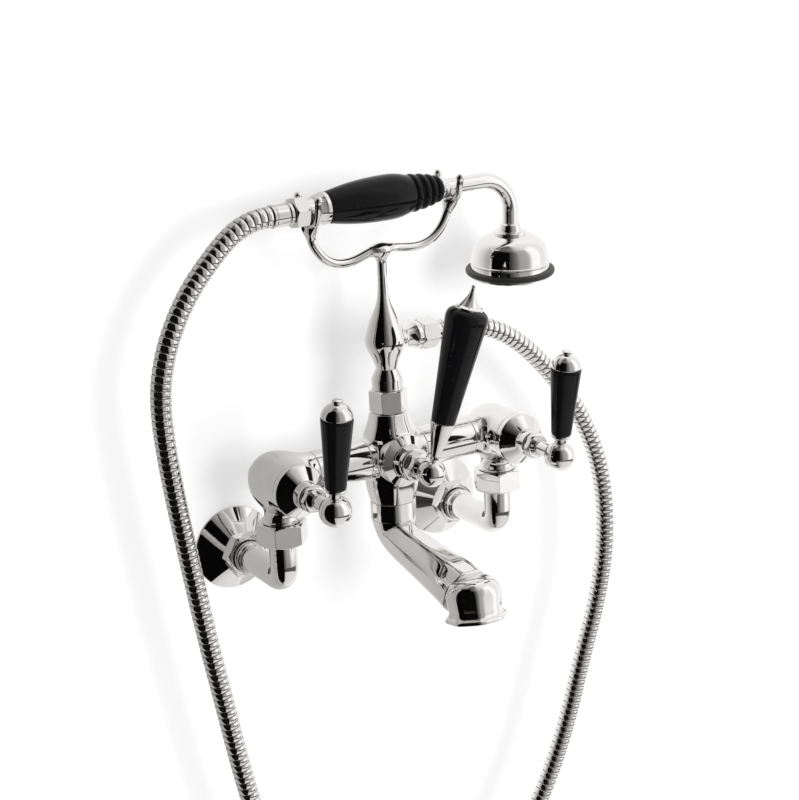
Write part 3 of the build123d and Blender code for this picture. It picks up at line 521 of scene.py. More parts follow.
def node(tree, kind, inputs=(), **settings):
    # a shader node with its settings and inputs
    made = tree.nodes.new("ShaderNode" + kind)
    for name, value in settings.items():
        setattr(made, name, value)
    fillInputs(tree, made, dict(inputs))
    return made


def calculate(tree, operation, *values):
    # one step of arithmetic on numbers or sockets
    return node(tree, "Math", dict(enumerate(values)), operation=operation).outputs[0]


def between(tree, value, low, high, toLow=0.0, toHigh=1.0):
    # eases from toLow to toHigh while the value goes from low to high
    inputs = {"Value": value, "From Min": low, "From Max": high, "To Min": toLow, "To Max": toHigh}
    return node(tree, "MapRange", inputs, interpolation_type="SMOOTHSTEP").outputs["Result"]


def blended(tree, share, first, second):
    # colour between two colours
    return node(tree, "Mix", {0: share, 6: first, 7: second}, data_type="RGBA").outputs[2]


def newGroup(name, inputs, outputs, fill):
    # node group with named inputs and outputs, and what fill builds between them
    group = bpy.data.node_groups.new(name, "ShaderNodeTree")
    for title, kind in inputs:
        group.interface.new_socket(title, in_out="INPUT", socket_type="NodeSocket" + kind)
    for title, kind in outputs:
        group.interface.new_socket(title, in_out="OUTPUT", socket_type="NodeSocket" + kind)
    entry, leave = group.nodes.new("NodeGroupInput"), group.nodes.new("NodeGroupOutput")
    for title, socket in fill(group, entry.outputs).items():
        group.links.new(socket, leave.inputs[title])
    return group


def placed(tree, group, inputs):
    # the group in a material, with its own values
    made = tree.nodes.new("ShaderNodeGroup")
    made.node_tree = group
    fillInputs(tree, made, inputs)
    return made.outputs


def noise(tree, place, scale, detail):
    # smooth noise from 0 to 1 over a place
    return node(tree, "TexNoise", {"Vector": place, "Scale": scale, "Detail": detail}).outputs[0]


def fillHandling(tree, entry):
    # smudges: coarse noise times finer noise; wipes are noise drawn out along Z; each is eased into
    # patches between two levels of its noise
    place, scale = entry["Place"], entry["Scale"]
    coarse = noise(tree, place, scale, 3.0)
    fine = noise(tree, place, calculate(tree, "MULTIPLY", scale, 5.3), 5.0)
    patches = calculate(tree, "MULTIPLY", between(tree, coarse, 0.45, 0.72), between(tree, fine, 0.35, 0.65))
    drawn = node(tree, "Mapping", {"Vector": place, "Scale": (1.0, 1.0, 0.12)}).outputs[0]
    wipe = noise(tree, drawn, calculate(tree, "MULTIPLY", scale, 24.0), 2.0)
    return {"Smudges": patches, "Wipes": between(tree, wipe, 0.5, 0.8)}


def fillBuffing(tree, entry):
    # height left by polishing: slow waves plus a weaker, finer grain
    slow = noise(tree, entry["Place"], entry["Waves"], 1.0)
    grain = noise(tree, entry["Place"], entry["Grain"], 2.0)
    return {"Height": calculate(tree, "ADD", slow, calculate(tree, "MULTIPLY", grain, entry["Grain Share"]))}


def fillSpecks(tree, entry):
    # dust: the middles of scattered cells, kept where a second noise is high
    cells = node(tree, "TexVoronoi", {"Vector": entry["Place"], "Scale": entry["Scale"]})
    dots = between(tree, cells.outputs["Distance"], 0.16, 0.08)
    area = noise(tree, entry["Place"], calculate(tree, "MULTIPLY", entry["Scale"], 0.31), 1.0)
    return {"Specks": calculate(tree, "MULTIPLY", dots, between(tree, area, 0.52, 0.66))}


placeAndScale = [("Place", "Vector"), ("Scale", "Float")]
wavesAndGrain = [("Place", "Vector"), ("Waves", "Float"), ("Grain", "Float"), ("Grain Share", "Float")]
handling = newGroup("handling", placeAndScale, [("Smudges", "Float"), ("Wipes", "Float")], fillHandling)
buffing = newGroup("buffing", wavesAndGrain, [("Height", "Float")], fillBuffing)
specks = newGroup("specks", placeAndScale, [("Specks", "Float")], fillSpecks)


def newLook(name, **plain):
    # a material with its plain values set on the shader, and the sockets to build from
    material = bpy.data.materials.new(name)
    material.use_nodes = True
    tree = material.node_tree
    shader = tree.nodes["Principled BSDF"]
    for title, value in plain.items():
        shader.inputs[title.replace("_", " ")].default_value = value
    place = node(tree, "TexCoord").outputs["Object"]
    looks[name] = material
    return tree, shader, place


def finished(tree, shader, colour, rough):
    # the colour and roughness that a look ends with
    tree.links.new(colour, shader.inputs["Base Color"])
    tree.links.new(rough, shader.inputs["Roughness"])


def buffed(tree, shader, place, waves, grain, grainShare, depth):
    # bump from the height that polishing leaves
    inputs = {"Place": place, "Waves": waves, "Grain": grain, "Grain Share": grainShare}
    height = placed(tree, buffing, inputs)["Height"]
    bump = node(tree, "Bump", {"Height": height, "Distance": depth, "Strength": 1.0})
    tree.links.new(bump.outputs[0], shader.inputs["Normal"])


def makeChrome(name, roughness, scale, waves, depth):
    # mirror plating: smudges and wipes dull it a little, and buffing leaves it faintly wavy
    tree, shader, place = newLook(name, Metallic=1.0)
    worn = placed(tree, handling, {"Place": place, "Scale": scale})
    dulled, roughened = finish["chromeSmudges"]
    colour = blended(tree, calculate(tree, "MULTIPLY", worn["Smudges"], dulled),
                     finish["chromeBright"] + (1,), finish["chromeDull"] + (1,))
    rough = calculate(tree, "MULTIPLY_ADD", worn["Smudges"], roughened, roughness)
    rough = calculate(tree, "MULTIPLY_ADD", worn["Wipes"], finish["chromeWipes"], rough)
    finished(tree, shader, colour, rough)
    buffed(tree, shader, place, waves, waves * 9, 0.06, depth)
    return tree, shader, colour, rough


def makeEnamel(name, roughness, scale):
    # black stove enamel: deep gloss with orange peel, dust specks and the odd smudge
    tree, shader, place = newLook(name, Specular_IOR_Level=finish["enamelSpecular"])
    worn = placed(tree, handling, {"Place": place, "Scale": scale})
    dust = placed(tree, specks, {"Place": place, "Scale": finish["dustScale"]})["Specks"]
    colour = blended(tree, calculate(tree, "MULTIPLY", dust, finish["dustShare"]),
                     finish["enamel"] + (1,), finish["dust"] + (1,))
    rough = calculate(tree, "MULTIPLY_ADD", worn["Smudges"], finish["enamelSmudges"], roughness)
    finished(tree, shader, colour, rough)
    buffed(tree, shader, place, 90.0, 520.0, 0.12, 0.00003)


def makeDull(name, colour, roughness, grainSize, depth, metallic=0.0, paler=1.6):
    # rubber, ceramic and raw brass: mottled colour, roughness that follows wipes, and a fine grain
    tree, shader, place = newLook(name, Metallic=metallic)
    worn = placed(tree, handling, {"Place": place, "Scale": finish["dullScale"]})
    pale = tuple(min(1.0, c * paler) for c in colour) + (1,)
    mottled = calculate(tree, "MULTIPLY", worn["Smudges"], finish["dullSmudges"])
    rough = calculate(tree, "MULTIPLY_ADD", worn["Wipes"], finish["dullWipes"], roughness)
    finished(tree, shader, blended(tree, mottled, colour + (1,), pale), rough)
    buffed(tree, shader, place, grainSize, grainSize * 4, 0.5, depth)


def makeHoseSteel():
    # chromed strip: the attribute counts its turns, and painted shade darkens the groove between two of them,
    # which is also rougher
    tree, shader, colour, rough = makeChrome("chromedHose", finish["hoseRoughness"], 26.0, 110.0, 0.00004)
    turn = node(tree, "Attribute", attribute_name="turn").outputs["Fac"]
    groove = between(tree, calculate(tree, "PINGPONG", turn, 0.5), 0.13, 0.03)
    darkened, roughened = finish["grooveShading"]
    # painted shade: the groove colour is mixed in where the groove lies
    grooveShaded = blended(tree, calculate(tree, "MULTIPLY", groove, darkened), colour, finish["grooveShade"] + (1,))
    finished(tree, shader, grooveShaded, calculate(tree, "MULTIPLY_ADD", groove, roughened, rough))


makeChrome("polishedChrome", finish["chromeRoughness"], 14.0, 48.0, 0.00005)
makeHoseSteel()
makeEnamel("blackEnamel", finish["enamelRoughness"], 12.0)
makeDull("blackRubber", finish["rubber"], 0.42, 240.0, 0.00003)
makeDull("sealRubber", finish["seal"], 0.6, 300.0, 0.00004)
makeDull("turnedBrass", finish["brass"], 0.22, 400.0, 0.00001, metallic=1.0, paler=0.8)
makeDull("whiteCeramic", finish["ceramic"], 0.3, 500.0, 0.000005, paler=0.94)
print("materials ready:", len(looks))


hose = {
    "radius": 8.0, "length": 1.495, "pitch": 5.6, "around": 40,  # its length is in metres
    "bendFrom": 188.0, "bendTo": 278.5,  # heights between which it lies along the hand shower
    # one turn of the strip, as (share of the pitch, height over the radius)
    "rib": [(0, -0.95), (0.06, -0.42), (0.14, -0.25), (0.3, -0.075), (0.5, 0), (0.7, -0.075),
            (0.86, -0.25), (0.94, -0.42)],
    # centre line in the plane of the legs, as (x, z) from the outlet's ferrule to the handset's
    "route": [
        (53.7, 177), (72, 177), (94, 173), (117, 162), (140, 143), (165, 115), (188, 82), (206, 43),
        (215, 0), (215, -50), (205, -98), (187, -150), (170, -206), (147, -259), (117, -308),
        (76, -347), (27, -365), (-25, -362), (-69, -340), (-102, -301), (-126, -253), (-141, -201),
        (-152.5, -146), (-162, -88), (-172, -30), (-180.5, 30), (-188, 84), (-193, 130), (-194, 168),
        (-187.5, 197), (-177, 221), (-165, 240), (-153.5, 253.7), (-142.3, 265.2), (-133.6, 273.2),
        (-126, 278.9), (-118.5, 283), (-110.6, 286), (-102.2, 287.6), (-93.7, 287.8),
    ],
}


def splinePoints(route):
    # points of the smooth curve that the route's points control, from a curve with no bevel
    curve = bpy.data.curves.new("hoseLine", "CURVE")
    curve.dimensions = "3D"
    spline = curve.splines.new("NURBS")
    spline.points.add(len(route) - 1)
    for point, (x, z) in zip(spline.points, route):
        point.co = (x * mm, -legReach * mm, z * mm, 1)
    spline.order_u = 3
    spline.use_endpoint_u = True
    spline.resolution_u = 24
    holder = bpy.data.objects.new("hoseLine", curve)
    bpy.context.scene.collection.objects.link(holder)
    line = bpy.data.meshes.new_from_object(holder)
    points = np.array([v.co for v in line.vertices]) / mm
    bpy.data.objects.remove(holder)
    return points


def ribbedTube(line, radius, pitch, rib, around):
    # rings along the line: each turn of the strip is a crowned band between two narrow grooves
    step = np.linalg.norm(np.diff(line, axis=0), axis=1)
    length = np.concatenate([[0], np.cumsum(step)])
    turns = int(round(length[-1] / pitch))
    share, height = np.array(rib, float).T
    at = (np.arange(turns)[:, None] + share).ravel() / turns * length[-1]
    at = np.append(at, length[-1])
    rise = np.append(np.tile(height, turns), height[0])
    centre = np.stack([np.interp(at, length, line[:, k]) for k in range(3)], 1)
    along = np.gradient(centre, axis=0)
    along /= np.linalg.norm(along, axis=1, keepdims=True)
    side = np.array([0.0, 1.0, 0.0])
    across = np.cross(side, along)
    angle = np.linspace(0, 2 * np.pi, around, endpoint=False)[None, :, None]
    ring = np.cos(angle) * across[:, None] + np.sin(angle) * side
    outer = centre[:, None] + (radius + rise)[:, None, None] * ring
    start, end = (centre[[k]][:, None] + 0 * ring[[k]] for k in (0, -1))
    turn = np.concatenate([[0], np.repeat(at / length[-1] * turns, around), [turns]])
    return gridSurface(np.concatenate([start, outer, end]), (True, True)), centre, turn


def makeHose():
    # the tube, with the turn that each point lies on as its attribute, and its middle line
    line = splinePoints(hose["route"])
    skin, path, turn = ribbedTube(line, hose["radius"], hose["pitch"], hose["rib"], hose["around"])
    piece = addPiece("hoseTube", skin, None, "hose", "hose")
    piece.data.attributes.new("turn", "FLOAT", "POINT").data.foreach_set("value", turn.astype(np.float32))
    return piece, path


hosePiece, hosePath = makeHose()
print("hose made:", len(hosePath), "rings")


# Paths of the turned pieces.
def forwardPath(x, z):
    # from the wall to the user: a station is the distance from the wall
    return straightPath((x, 0, z), (0, -1, 0), (0, 0, 1))


def uprightPath(x):
    # up in the plane of the legs: a station is the height
    return straightPath((x, -legReach, 0), (0, 0, 1), (1, 0, 0))


def sidewaysPath(z, side=1, x=0):
    # along X in the plane of the legs: a station is the distance from x
    return straightPath((x, -legReach, z), (side, 0, 0), (0, 0, 1))


def leverPath(hub, turn, lean=8.0):
    # from a ball's centre along its lever, leaning to the user and turned to +X
    lean, turn = np.radians(lean), np.radians(turn)
    along = (np.cos(lean) * np.sin(turn), -np.sin(lean), np.cos(lean) * np.cos(turn))
    return straightPath(hub, along, (np.cos(turn), 0, -np.sin(turn)))


def crown(radius, low, high):
    # arc from a rim up to the axis, level on the axis
    rise = high - low
    sphere = (radius**2 + rise**2) / (2 * rise)
    half = np.arctan2(radius, sphere - rise) / 2
    return [(sphere * np.sin(half), high - sphere + sphere * np.cos(half)), (0, high)]


def ballOutline(ball, neck):
    # sphere from its pole round to the circle where a neck of that radius leaves it
    lower, upper = np.pi / 4, np.pi / 4 - np.arcsin(neck / ball) / 2
    outline = [(0, -ball), [(ball * np.cos(lower), -ball * np.sin(lower)), (ball, 0)]]
    return outline + [[(ball * np.cos(upper), ball * np.sin(upper)), (neck, np.sqrt(ball**2 - neck**2))]]


inlet = {
    "flange": 35.0, "flangeRim": 1.8, "flangeDepth": 16.5, "flangeNose": 15.0, "flangeBore": 12.9,
    "hollow": 31.1, "hollowDepth": 12.6, "nutFlats": 34.0, "nutLength": 11.5, "nutBores": (12.5, 10.5),
    "pipe": 11.0, "pipeFoot": 10.4, "bend": 13.0, "pipeInNut": 3.5, "collar": 13.4, "collarLength": 8.0,
    "unionFlats": 36.0, "unionBase": 32.0, "unionLength": 18.0, "unionBores": (11.1, 13.3),
    "unionTurn": {"left": 18.0, "right": 32.0},
}


def makeInlet(name, x):
    # flange, tail nut, elbow and union nut of one side, from the wall to the valve
    depth, nose, flange = inlet["flangeDepth"], inlet["flangeNose"], inlet["flange"]
    bore, hollowDepth = inlet["flangeBore"], inlet["hollowDepth"]
    wall = forwardPath(x, 0)
    skirt = [(bore, hollowDepth), (inlet["hollow"], 0), (flange, 0), (flange, inlet["flangeRim"])]
    skirt += [(flange - 1.3, 2.6), (nose, depth * 0.9), (nose, depth), (bore, depth), (bore, hollowDepth)]
    addPiece(f"{name}WallFlange", turned(skirt, wall))
    nutEnd = depth + inlet["nutLength"]
    addPiece(f"{name}TailNut", hexagonNut(wall, inlet["nutFlats"], depth, nutEnd, inlet["nutBores"]))
    base = inlet["unionBase"]
    pipeEnd = (x, -legReach, base + inlet["pipeInNut"])
    route = bentPath((x, -nutEnd, 0), (x, -legReach, 0), pipeEnd, inlet["bend"])
    pipe, foot, collar, collarEnd = (inlet[k] for k in ("pipe", "pipeFoot", "collar", "collarLength"))
    elbow = [(0, 0), (foot, 0), (foot, 0.1), (collar - 0.9, 0.1), (collar, 1.0), (collar, collarEnd - 1.2)]
    elbow += [(collar - 1.2, collarEnd), (pipe, collarEnd), (pipe, route.length), (0, route.length)]
    addPiece(f"{name}InletElbow", turned(elbow, route, edge=0.45, step=1.0))
    top, bores, turn = base + inlet["unionLength"], inlet["unionBores"], inlet["unionTurn"][name]
    addPiece(f"{name}UnionNut", hexagonNut(uprightPath(x), inlet["unionFlats"], base, top, bores, turn))


for name, side in sides.items():
    makeInlet(name, side * inletX)
print("inlets made")


valve = {
    "barrel": 20.8, "back": 65.0, "front": 122.0, "unionTop": 50.1, "crossTube": 16.2, "bossReach": 29.6,
    "neck": 12.2, "neckFoot": 15.4, "ringBore": 13.2, "ringTop": 12.0, "castHalf": 23.0,
    # shares of the height and of the neck's radius; shares of the reach and of the cross tube's radius
    "neckFlare": [(0.055, 1.16), (0.165, 1.05), (0.3, 1), (0.57, 1.25), (1, 1.3)],
    "bossFlare": [(0, 1.22), (0.36, 1.22), (0.7, 1.06), (0.9, 1), (1, 1)],
    "rounding": 0.9, "neckBlend": 12.0, "bossBlend": 5.0,
    "cover": 21.0, "coverRim": 5.0, "coverDepth": 14.0, "coverNeck": 11.0, "coverLength": 24.0,
    "glandFlats": 18.5, "glandLength": 6.0, "glandBores": (7.6, 5.55),
}
castCell = 0.8  # size of the cells that a casting is sampled with
castMargin = 2.0  # how far the cells go past its ends


def valveField(x, side):
    # barrel, neck and boss as distances from their axes less their radii, run together at their joins
    foot, waist, tube, reach = (valve[k] for k in ("unionTop", "neck", "crossTube", "bossReach"))
    rise, rounding = valveHeight - foot, valve["rounding"]
    neckRadii = [(foot, valve["neckFoot"] - 0.6)]
    neckRadii += [(foot + rise * share, waist * wider) for share, wider in valve["neckFlare"]]
    neckCurve = smoothThrough(neckRadii)
    bossCurve = smoothThrough([(reach * share, tube * wider) for share, wider in valve["bossFlare"]])

    def field(at):
        # barrel, a ball at the back and flat in front, joined to the neck below and the boss at the side
        inward, out, up = -side * (at[..., 0] - x), -at[..., 1], at[..., 2]
        behind = np.minimum(out - valve["back"] - valve["barrel"], 0)
        barrel = np.sqrt(inward**2 + (up - valveHeight) ** 2 + behind**2) - valve["barrel"]
        barrel = smoothCut(barrel, out - valve["front"], rounding)
        fromLeg = np.hypot(inward, out - legReach)
        neck = fromLeg - np.interp(up, neckCurve[:, 0], neckCurve[:, 1])
        neck = smoothCut(smoothCut(neck, foot - up, rounding), up - valveHeight, rounding)
        fromBoss = np.hypot(out - legReach, up - valveHeight)
        boss = fromBoss - np.interp(inward, bossCurve[:, 0], bossCurve[:, 1])
        boss = smoothCut(smoothCut(boss, inward - reach, rounding), -inward, rounding)
        return smoothJoin(smoothJoin(barrel, neck, valve["neckBlend"]), boss, valve["bossBlend"])

    return field


def makeValve(name, x, side):
    # cast body on its foot ring, then the bonnet cover and the gland nut in front of it
    wall = forwardPath(x, valveHeight)
    inner, outer = valve["bossReach"] + castMargin, valve["castHalf"]
    low = (x - (inner if side > 0 else outer), -valve["front"] - castMargin, valve["unionTop"] - castMargin)
    high = (x + (outer if side > 0 else inner), -valve["back"] + castMargin, valveHeight + outer)
    body = casting(valveField(x, side), low, high, castCell)
    foot, bore, wide = valve["unionTop"], valve["ringBore"], valve["neckFoot"]
    ring = [(0, foot - 2), (bore, foot - 2), (bore, foot), (wide, foot), (wide, foot + 1.7)]
    ring += [(valve["ringTop"], foot + 3.0), (0, foot + 3.0)]
    addPiece(f"{name}ValveBody", combined(body, turned(ring, uprightPath(x))))
    front, cover, neck = valve["front"], valve["cover"], valve["coverNeck"]
    rim, end = front + valve["coverRim"], front + valve["coverLength"]
    bonnet = [(0, front), (cover, front), (cover, rim), (cover - 0.8, rim + 1)]
    bonnet += [(neck, front + valve["coverDepth"]), (neck, end - 0.8), (neck - 0.8, end), (0, end)]
    addPiece(f"{name}BonnetCover", turned(bonnet, wall))
    glandEnd = end + valve["glandLength"]
    nut = hexagonNut(wall, valve["glandFlats"], end, glandEnd, valve["glandBores"], edge=0.25)
    addPiece(f"{name}GlandNut", nut)


for name, side in sides.items():
    makeValve(name, side * inletX, side)
print("valves made")


lever = {
    "ball": 12.2, "neck": 4.7, "ring": 7.8, "gripStart": 18.5, "gripFoot": 8.0, "gripHead": 12.2,
    "gripEnd": 75.4, "capHeight": 10.6, "button": 4.0, "buttonHeight": 3.5,
}


def makeLever(name, hub):
    # ball with its neck and ring, tapered grip, and the domed cap with its button
    path, body = leverPath(hub, 0), f"lever_{name}"
    ball, neck, ring, start, end = (lever[k] for k in ("ball", "neck", "ring", "gripStart", "gripEnd"))
    knob = ballOutline(ball, neck) + [(neck, start - 3.3), (ring - 0.5, start - 2.6), (ring, start - 1.4)]
    knob += [(ring - 0.5, start), (0, start)]
    addPiece(f"{name}LeverHub", turned(knob, path, edge=0.6), body)
    foot, head = lever["gripFoot"], lever["gripHead"]
    grip = [(0, start), (foot - 0.7, start), (foot, start + 1), (head, end - 2), (head - 0.5, end), (0, end)]
    addPiece(f"{name}LeverGrip", turned(grip, path, edge=0.9), body, "black_grip")
    height, button, brim = lever["capHeight"], lever["button"], head - 0.3
    dome, tip = end + height, end + height + lever["buttonHeight"]
    cap = [(0, end), (brim, end), (brim, end + 1), [(brim * 0.8, end + height * 0.58), (button - 0.8, dome)]]
    cap += [(button, dome + 0.8), (button, tip - 1.2), crown(button, tip - 1.2, tip)]
    addPiece(f"{name}LeverCap", turned(cap, path, edge=0.5), body)


makeLever("left", leftHub)
makeLever("right", rightHub)
print("levers made")


column = {
    "top": 119.5, "bottom": 45.0, "neck": 16.5, "waist": 22.4, "foot": 19.0, "armReach": 26.0,
    "frontBoss": 19.5, "frontReach": 21.0, "edge": 2.6, "armBlend": 3.5, "bossBlend": 3.0,
    "collarLength": 15.0, "collarCorner": 19.3, "collarRound": 8.5, "collarBore": 5.0,
    "castHalf": 25.0,
}
octagon = np.cos(np.pi / 8)  # distance to a flat as a share of the distance to a corner


def centreField():
    # octagon whose corner radius changes with height, run together with the arms and the front boss
    tube = valve["crossTube"]
    above, below = valveHeight + tube, valveHeight - tube
    heights = [column["bottom"], below, valveHeight - tube / 2, valveHeight + tube / 2, above]
    heights += [(above + column["top"]) / 2, column["top"]]
    waist = column["waist"]
    corners = [column["foot"], waist, waist - 1, waist - 1, waist, column["neck"] + 2.6, column["neck"]]
    curve = smoothThrough(np.stack([heights, corners], 1))

    def field(at):
        # eight flats between bottom and top, joined to the arm across and the boss in front
        x, out, up = at[..., 0], -at[..., 1], at[..., 2]
        apothem = np.interp(up, curve[:, 0], curve[:, 1]) * octagon
        body = None
        for k in range(8):
            angle = k * np.pi / 4
            facet = x * np.cos(angle) + (out - legReach) * np.sin(angle) - apothem
            body = facet if body is None else smoothCut(body, facet, column["edge"])
        body = smoothCut(body, up - column["top"], 0.8)
        body = smoothCut(body, column["bottom"] - up, 0.8)
        arm = np.hypot(out - legReach, up - valveHeight) - tube
        arm = smoothCut(arm, np.abs(x) - column["armReach"], 0.6)
        boss = np.hypot(x, up - valveHeight) - column["frontBoss"]
        boss = smoothCut(boss, out - legReach - column["frontReach"], 0.9)
        boss = smoothCut(boss, legReach - out, 0.9)
        body = smoothJoin(body, arm, column["armBlend"])
        return smoothJoin(body, boss, column["bossBlend"])

    return field


def octagonBar(path, corner, low, high):
    # straight octagon with rounded corners
    ring = polygonRing(8, 2 * corner * octagon, column["collarRound"], 0)
    radius, ones = np.linalg.norm(ring, axis=1), np.ones(len(ring))
    bore = column["collarBore"] * ones
    stations = [low * ones, low * ones, high * ones, high * ones]
    return polygonBar(path, ring, [bore, radius, radius, bore], stations, 0.5)


def makeCentre():
    # cast column, the cross tubes out to both valves, and the collar that the spout hangs from
    reach, half = column["armReach"] + castMargin, column["castHalf"]
    low = (-reach, -legReach - half, column["bottom"] - castMargin)
    high = (reach, -legReach + half, column["top"] + castMargin)
    addPiece("centreBody", casting(centreField(), low, high, castCell))
    start, end, radius = column["armReach"], inletX - valve["bossReach"], valve["crossTube"]
    for name, side in sides.items():
        tube = [(0, start), (radius, start), (radius, end), (0, end)]
        addPiece(f"{name}CrossTube", turned(tube, sidewaysPath(valveHeight, side), edge=0.4))
    bottom = column["bottom"] - column["collarLength"]
    addPiece("spoutCollar", octagonBar(uprightPath(0), column["collarCorner"], bottom, column["bottom"]))


makeCentre()
print("centre made")


spout = {
    "outletReach": 208.5, "outletDrop": 18.5, "nozzleHeading": 80.0, "bore": 16.0, "depth": 6.0,
    "round": 0.42, "nozzleRound": 10.0, "boreRound": 14.0, "perFlat": 8,
    # share of the reach, share of the height, degrees down from level, corner radius
    "body": [
        (0.0, 1.0, 90, 19.0), (0.024, 0.8, 60, 17.0), (0.1, 0.67, 26, 16.6), (0.23, 0.59, 13, 17.0),
        (0.42, 0.52, 9, 18.2), (0.63, 0.45, 9, 20.0), (0.79, 0.395, 14, 21.4), (0.885, 0.345, 20, 22.0),
    ],
    "bodyEnd": [(0.3, 0.6), (1.0, 1.0), (4.0, 1.1)],  # how far its closed end steps in and runs on
    # corner radius of the nozzle, and the height above its mouth
    "nozzle": [
        (25.2, 0.6), (25.2, 1.6), (24.5, 2.8), (22.6, 4.4), (21.6, 6.6), (21.7, 9.5), (22.2, 14),
        (22.5, 19), (22.0, 23.5), (20.2, 27.4), (17.0, 30.2), (12.5, 32.0), (6.5, 33.0), (0.01, 33.2),
    ],
}


def octagonRing(corner, rounding):
    # rounded octagon from its corner radius
    return polygonRing(8, 2 * corner * octagon, rounding, 0, perFlat=spout["perFlat"])


def spoutBody():
    # rounded octagon carried along the stations, from the collar down and out to a closed end
    top = column["bottom"] - column["collarLength"]
    rows = np.array(spout["body"], float)
    rows[:, 0] = -legReach - rows[:, 0] * (spout["outletReach"] - legReach)
    rows[:, 1] = rows[:, 1] * (top + spout["outletDrop"]) - spout["outletDrop"]
    scale = np.array([1, 1, 0.3, 1])  # degrees count less than millimetres in the spline
    rows = smoothThrough(rows * scale, 1.0) / scale
    heading, radius = np.radians(rows[:, 2]), rows[:, 3]
    ahead = np.stack([0 * heading, -np.cos(heading), -np.sin(heading)], 1)
    centre = np.stack([0 * heading, rows[:, 0], rows[:, 1]], 1)
    ends = [centre[-1] + ahead[-1] * on for inset, on in spout["bodyEnd"]]
    centre = np.vstack([centre[:1], centre, ends, ends[-1:]])
    ahead = np.vstack([ahead[:1], ahead, np.repeat(ahead[-1:], len(centre) - len(ahead) - 1, axis=0)])
    endRadii = [radius[-1] - inset for inset, on in spout["bodyEnd"]]
    radius = np.concatenate([[0.001], radius, endRadii, [0.001]])
    ring = octagonRing(1, spout["round"])
    return spoutRings(centre, ahead, [ring * r for r in radius])


def spoutNozzle():
    # dome, waist and flared lip above the mouth, and the bore up into it
    tilt = np.radians(spout["nozzleHeading"])
    ahead = np.array([0, -np.cos(tilt), -np.sin(tilt)])
    mouth = np.array([0, -spout["outletReach"], -spout["outletDrop"]])
    bore, depth, lip, hole = (spout[k] for k in ("bore", "depth", "nozzleRound", "boreRound"))
    outline = smoothThrough(spout["nozzle"], 0.9)[::-1]
    rows = [(r, h, min(lip + max(h - 20, 0), 0.8 * r)) for r, h in outline]
    rows += [(24.9, 0.15, lip), (24.3, 0.0, lip), (bore + 2.2, 0.0, hole), (bore + 1.1, 0.3, hole)]
    rows += [(bore + 0.9, 1.0, hole), (bore + 0.9, depth, hole), (0.01, depth, 0.005)]
    centre = np.array([mouth - ahead * height for radius, height, rounding in rows])
    rings = [octagonRing(radius, rounding) for radius, height, rounding in rows]
    return spoutRings(centre, np.broadcast_to(ahead, centre.shape), rings)


def spoutRings(centre, ahead, rings):
    # each ring of the plane stands square to its heading, its first axis along X
    across = np.array([1.0, 0, 0])
    up = np.cross(ahead, across)
    points = [c + ring[:, :1] * across + ring[:, 1:] * u for c, ring, u in zip(centre, rings, up)]
    return gridSurface(np.stack(points), (True, True))


addPiece("spoutShell", combined(spoutBody(), spoutNozzle()), cadNode="spout")
print("spout made")


diverter = {
    "turn": 12.0, "ball": 11.3, "shaft": 1.7, "gland": 9.0, "drum": 13.5, "start": 14.0, "foot": 3.7,
    "head": 9.8, "gripStart": 42.3, "gripHead": 16.6, "gripEnd": 133.0,
    "finial": 10.8, "point": 1.5, "tip": 152.2,
}


def makeDiverter():
    # bonnet and gland nut on the column's front, and the long lever with its grip and finial
    hub = jointPlace["diverter_turn"]
    wall = forwardPath(0, valveHeight)
    front = legReach + column["frontReach"]
    glandEnd = -hub[1] - diverter["ball"] - diverter["shaft"]
    drumEnd = glandEnd - diverter["gland"]
    cover, drum = valve["cover"] - 0.2, diverter["drum"]
    bonnet = [(0, front), (cover, front), (cover, front + 2.3), (drum + 0.6, front + 5.8)]
    bonnet += [(drum, front + 6.6), (drum, drumEnd - 1.6)]
    bonnet += [[(drum - 0.6, drumEnd - 0.5), (drum - 2, drumEnd)], (0, drumEnd)]
    addPiece("diverterBonnet", turned(bonnet, wall))
    nut = hexagonNut(wall, valve["glandFlats"], drumEnd, glandEnd, valve["glandBores"], edge=0.25)
    addPiece("diverterGlandNut", nut)
    path, body = leverPath(hub, diverter["turn"]), "diverter"
    start, gripStart, end, tip = (diverter[k] for k in ("start", "gripStart", "gripEnd", "tip"))
    foot, head, gripHead, finial = (diverter[k] for k in ("foot", "head", "gripHead", "finial"))
    neck = foot - 0.3
    knob = ballOutline(diverter["ball"], neck) + [(neck, start), (0, start)]
    addPiece("diverterHub", turned(knob, path, edge=0.6), body)
    cone = [(0, start), (foot, start), (head, gripStart - 0.8), (head, gripStart), (0, gripStart)]
    addPiece("diverterFerrule", turned(cone, path), body)
    grip = [(0, gripStart), (head - 0.4, gripStart), (gripHead - 0.3, end - 12)]
    grip += [[(gripHead, end - 8), (gripHead - 1.6, end - 2.4), (finial + 0.4, end)], (0, end)]
    addPiece("diverterGrip", turned(grip, path, edge=0.6), body, "black_grip")
    rise, point = tip - end, diverter["point"]
    pointStart = end + rise * 0.85
    top = [(0, end), (finial, end), (finial, end + 1.6), (finial - 2.6, end + 2.8)]
    top += [[(finial * 0.42, end + rise * 0.42), (finial * 0.2, end + rise * 0.7), (point, pointStart)]]
    top += [crown(point, pointStart, tip)]
    addPiece("diverterFinial", turned(top, path), body)


makeDiverter()
print("diverter made")


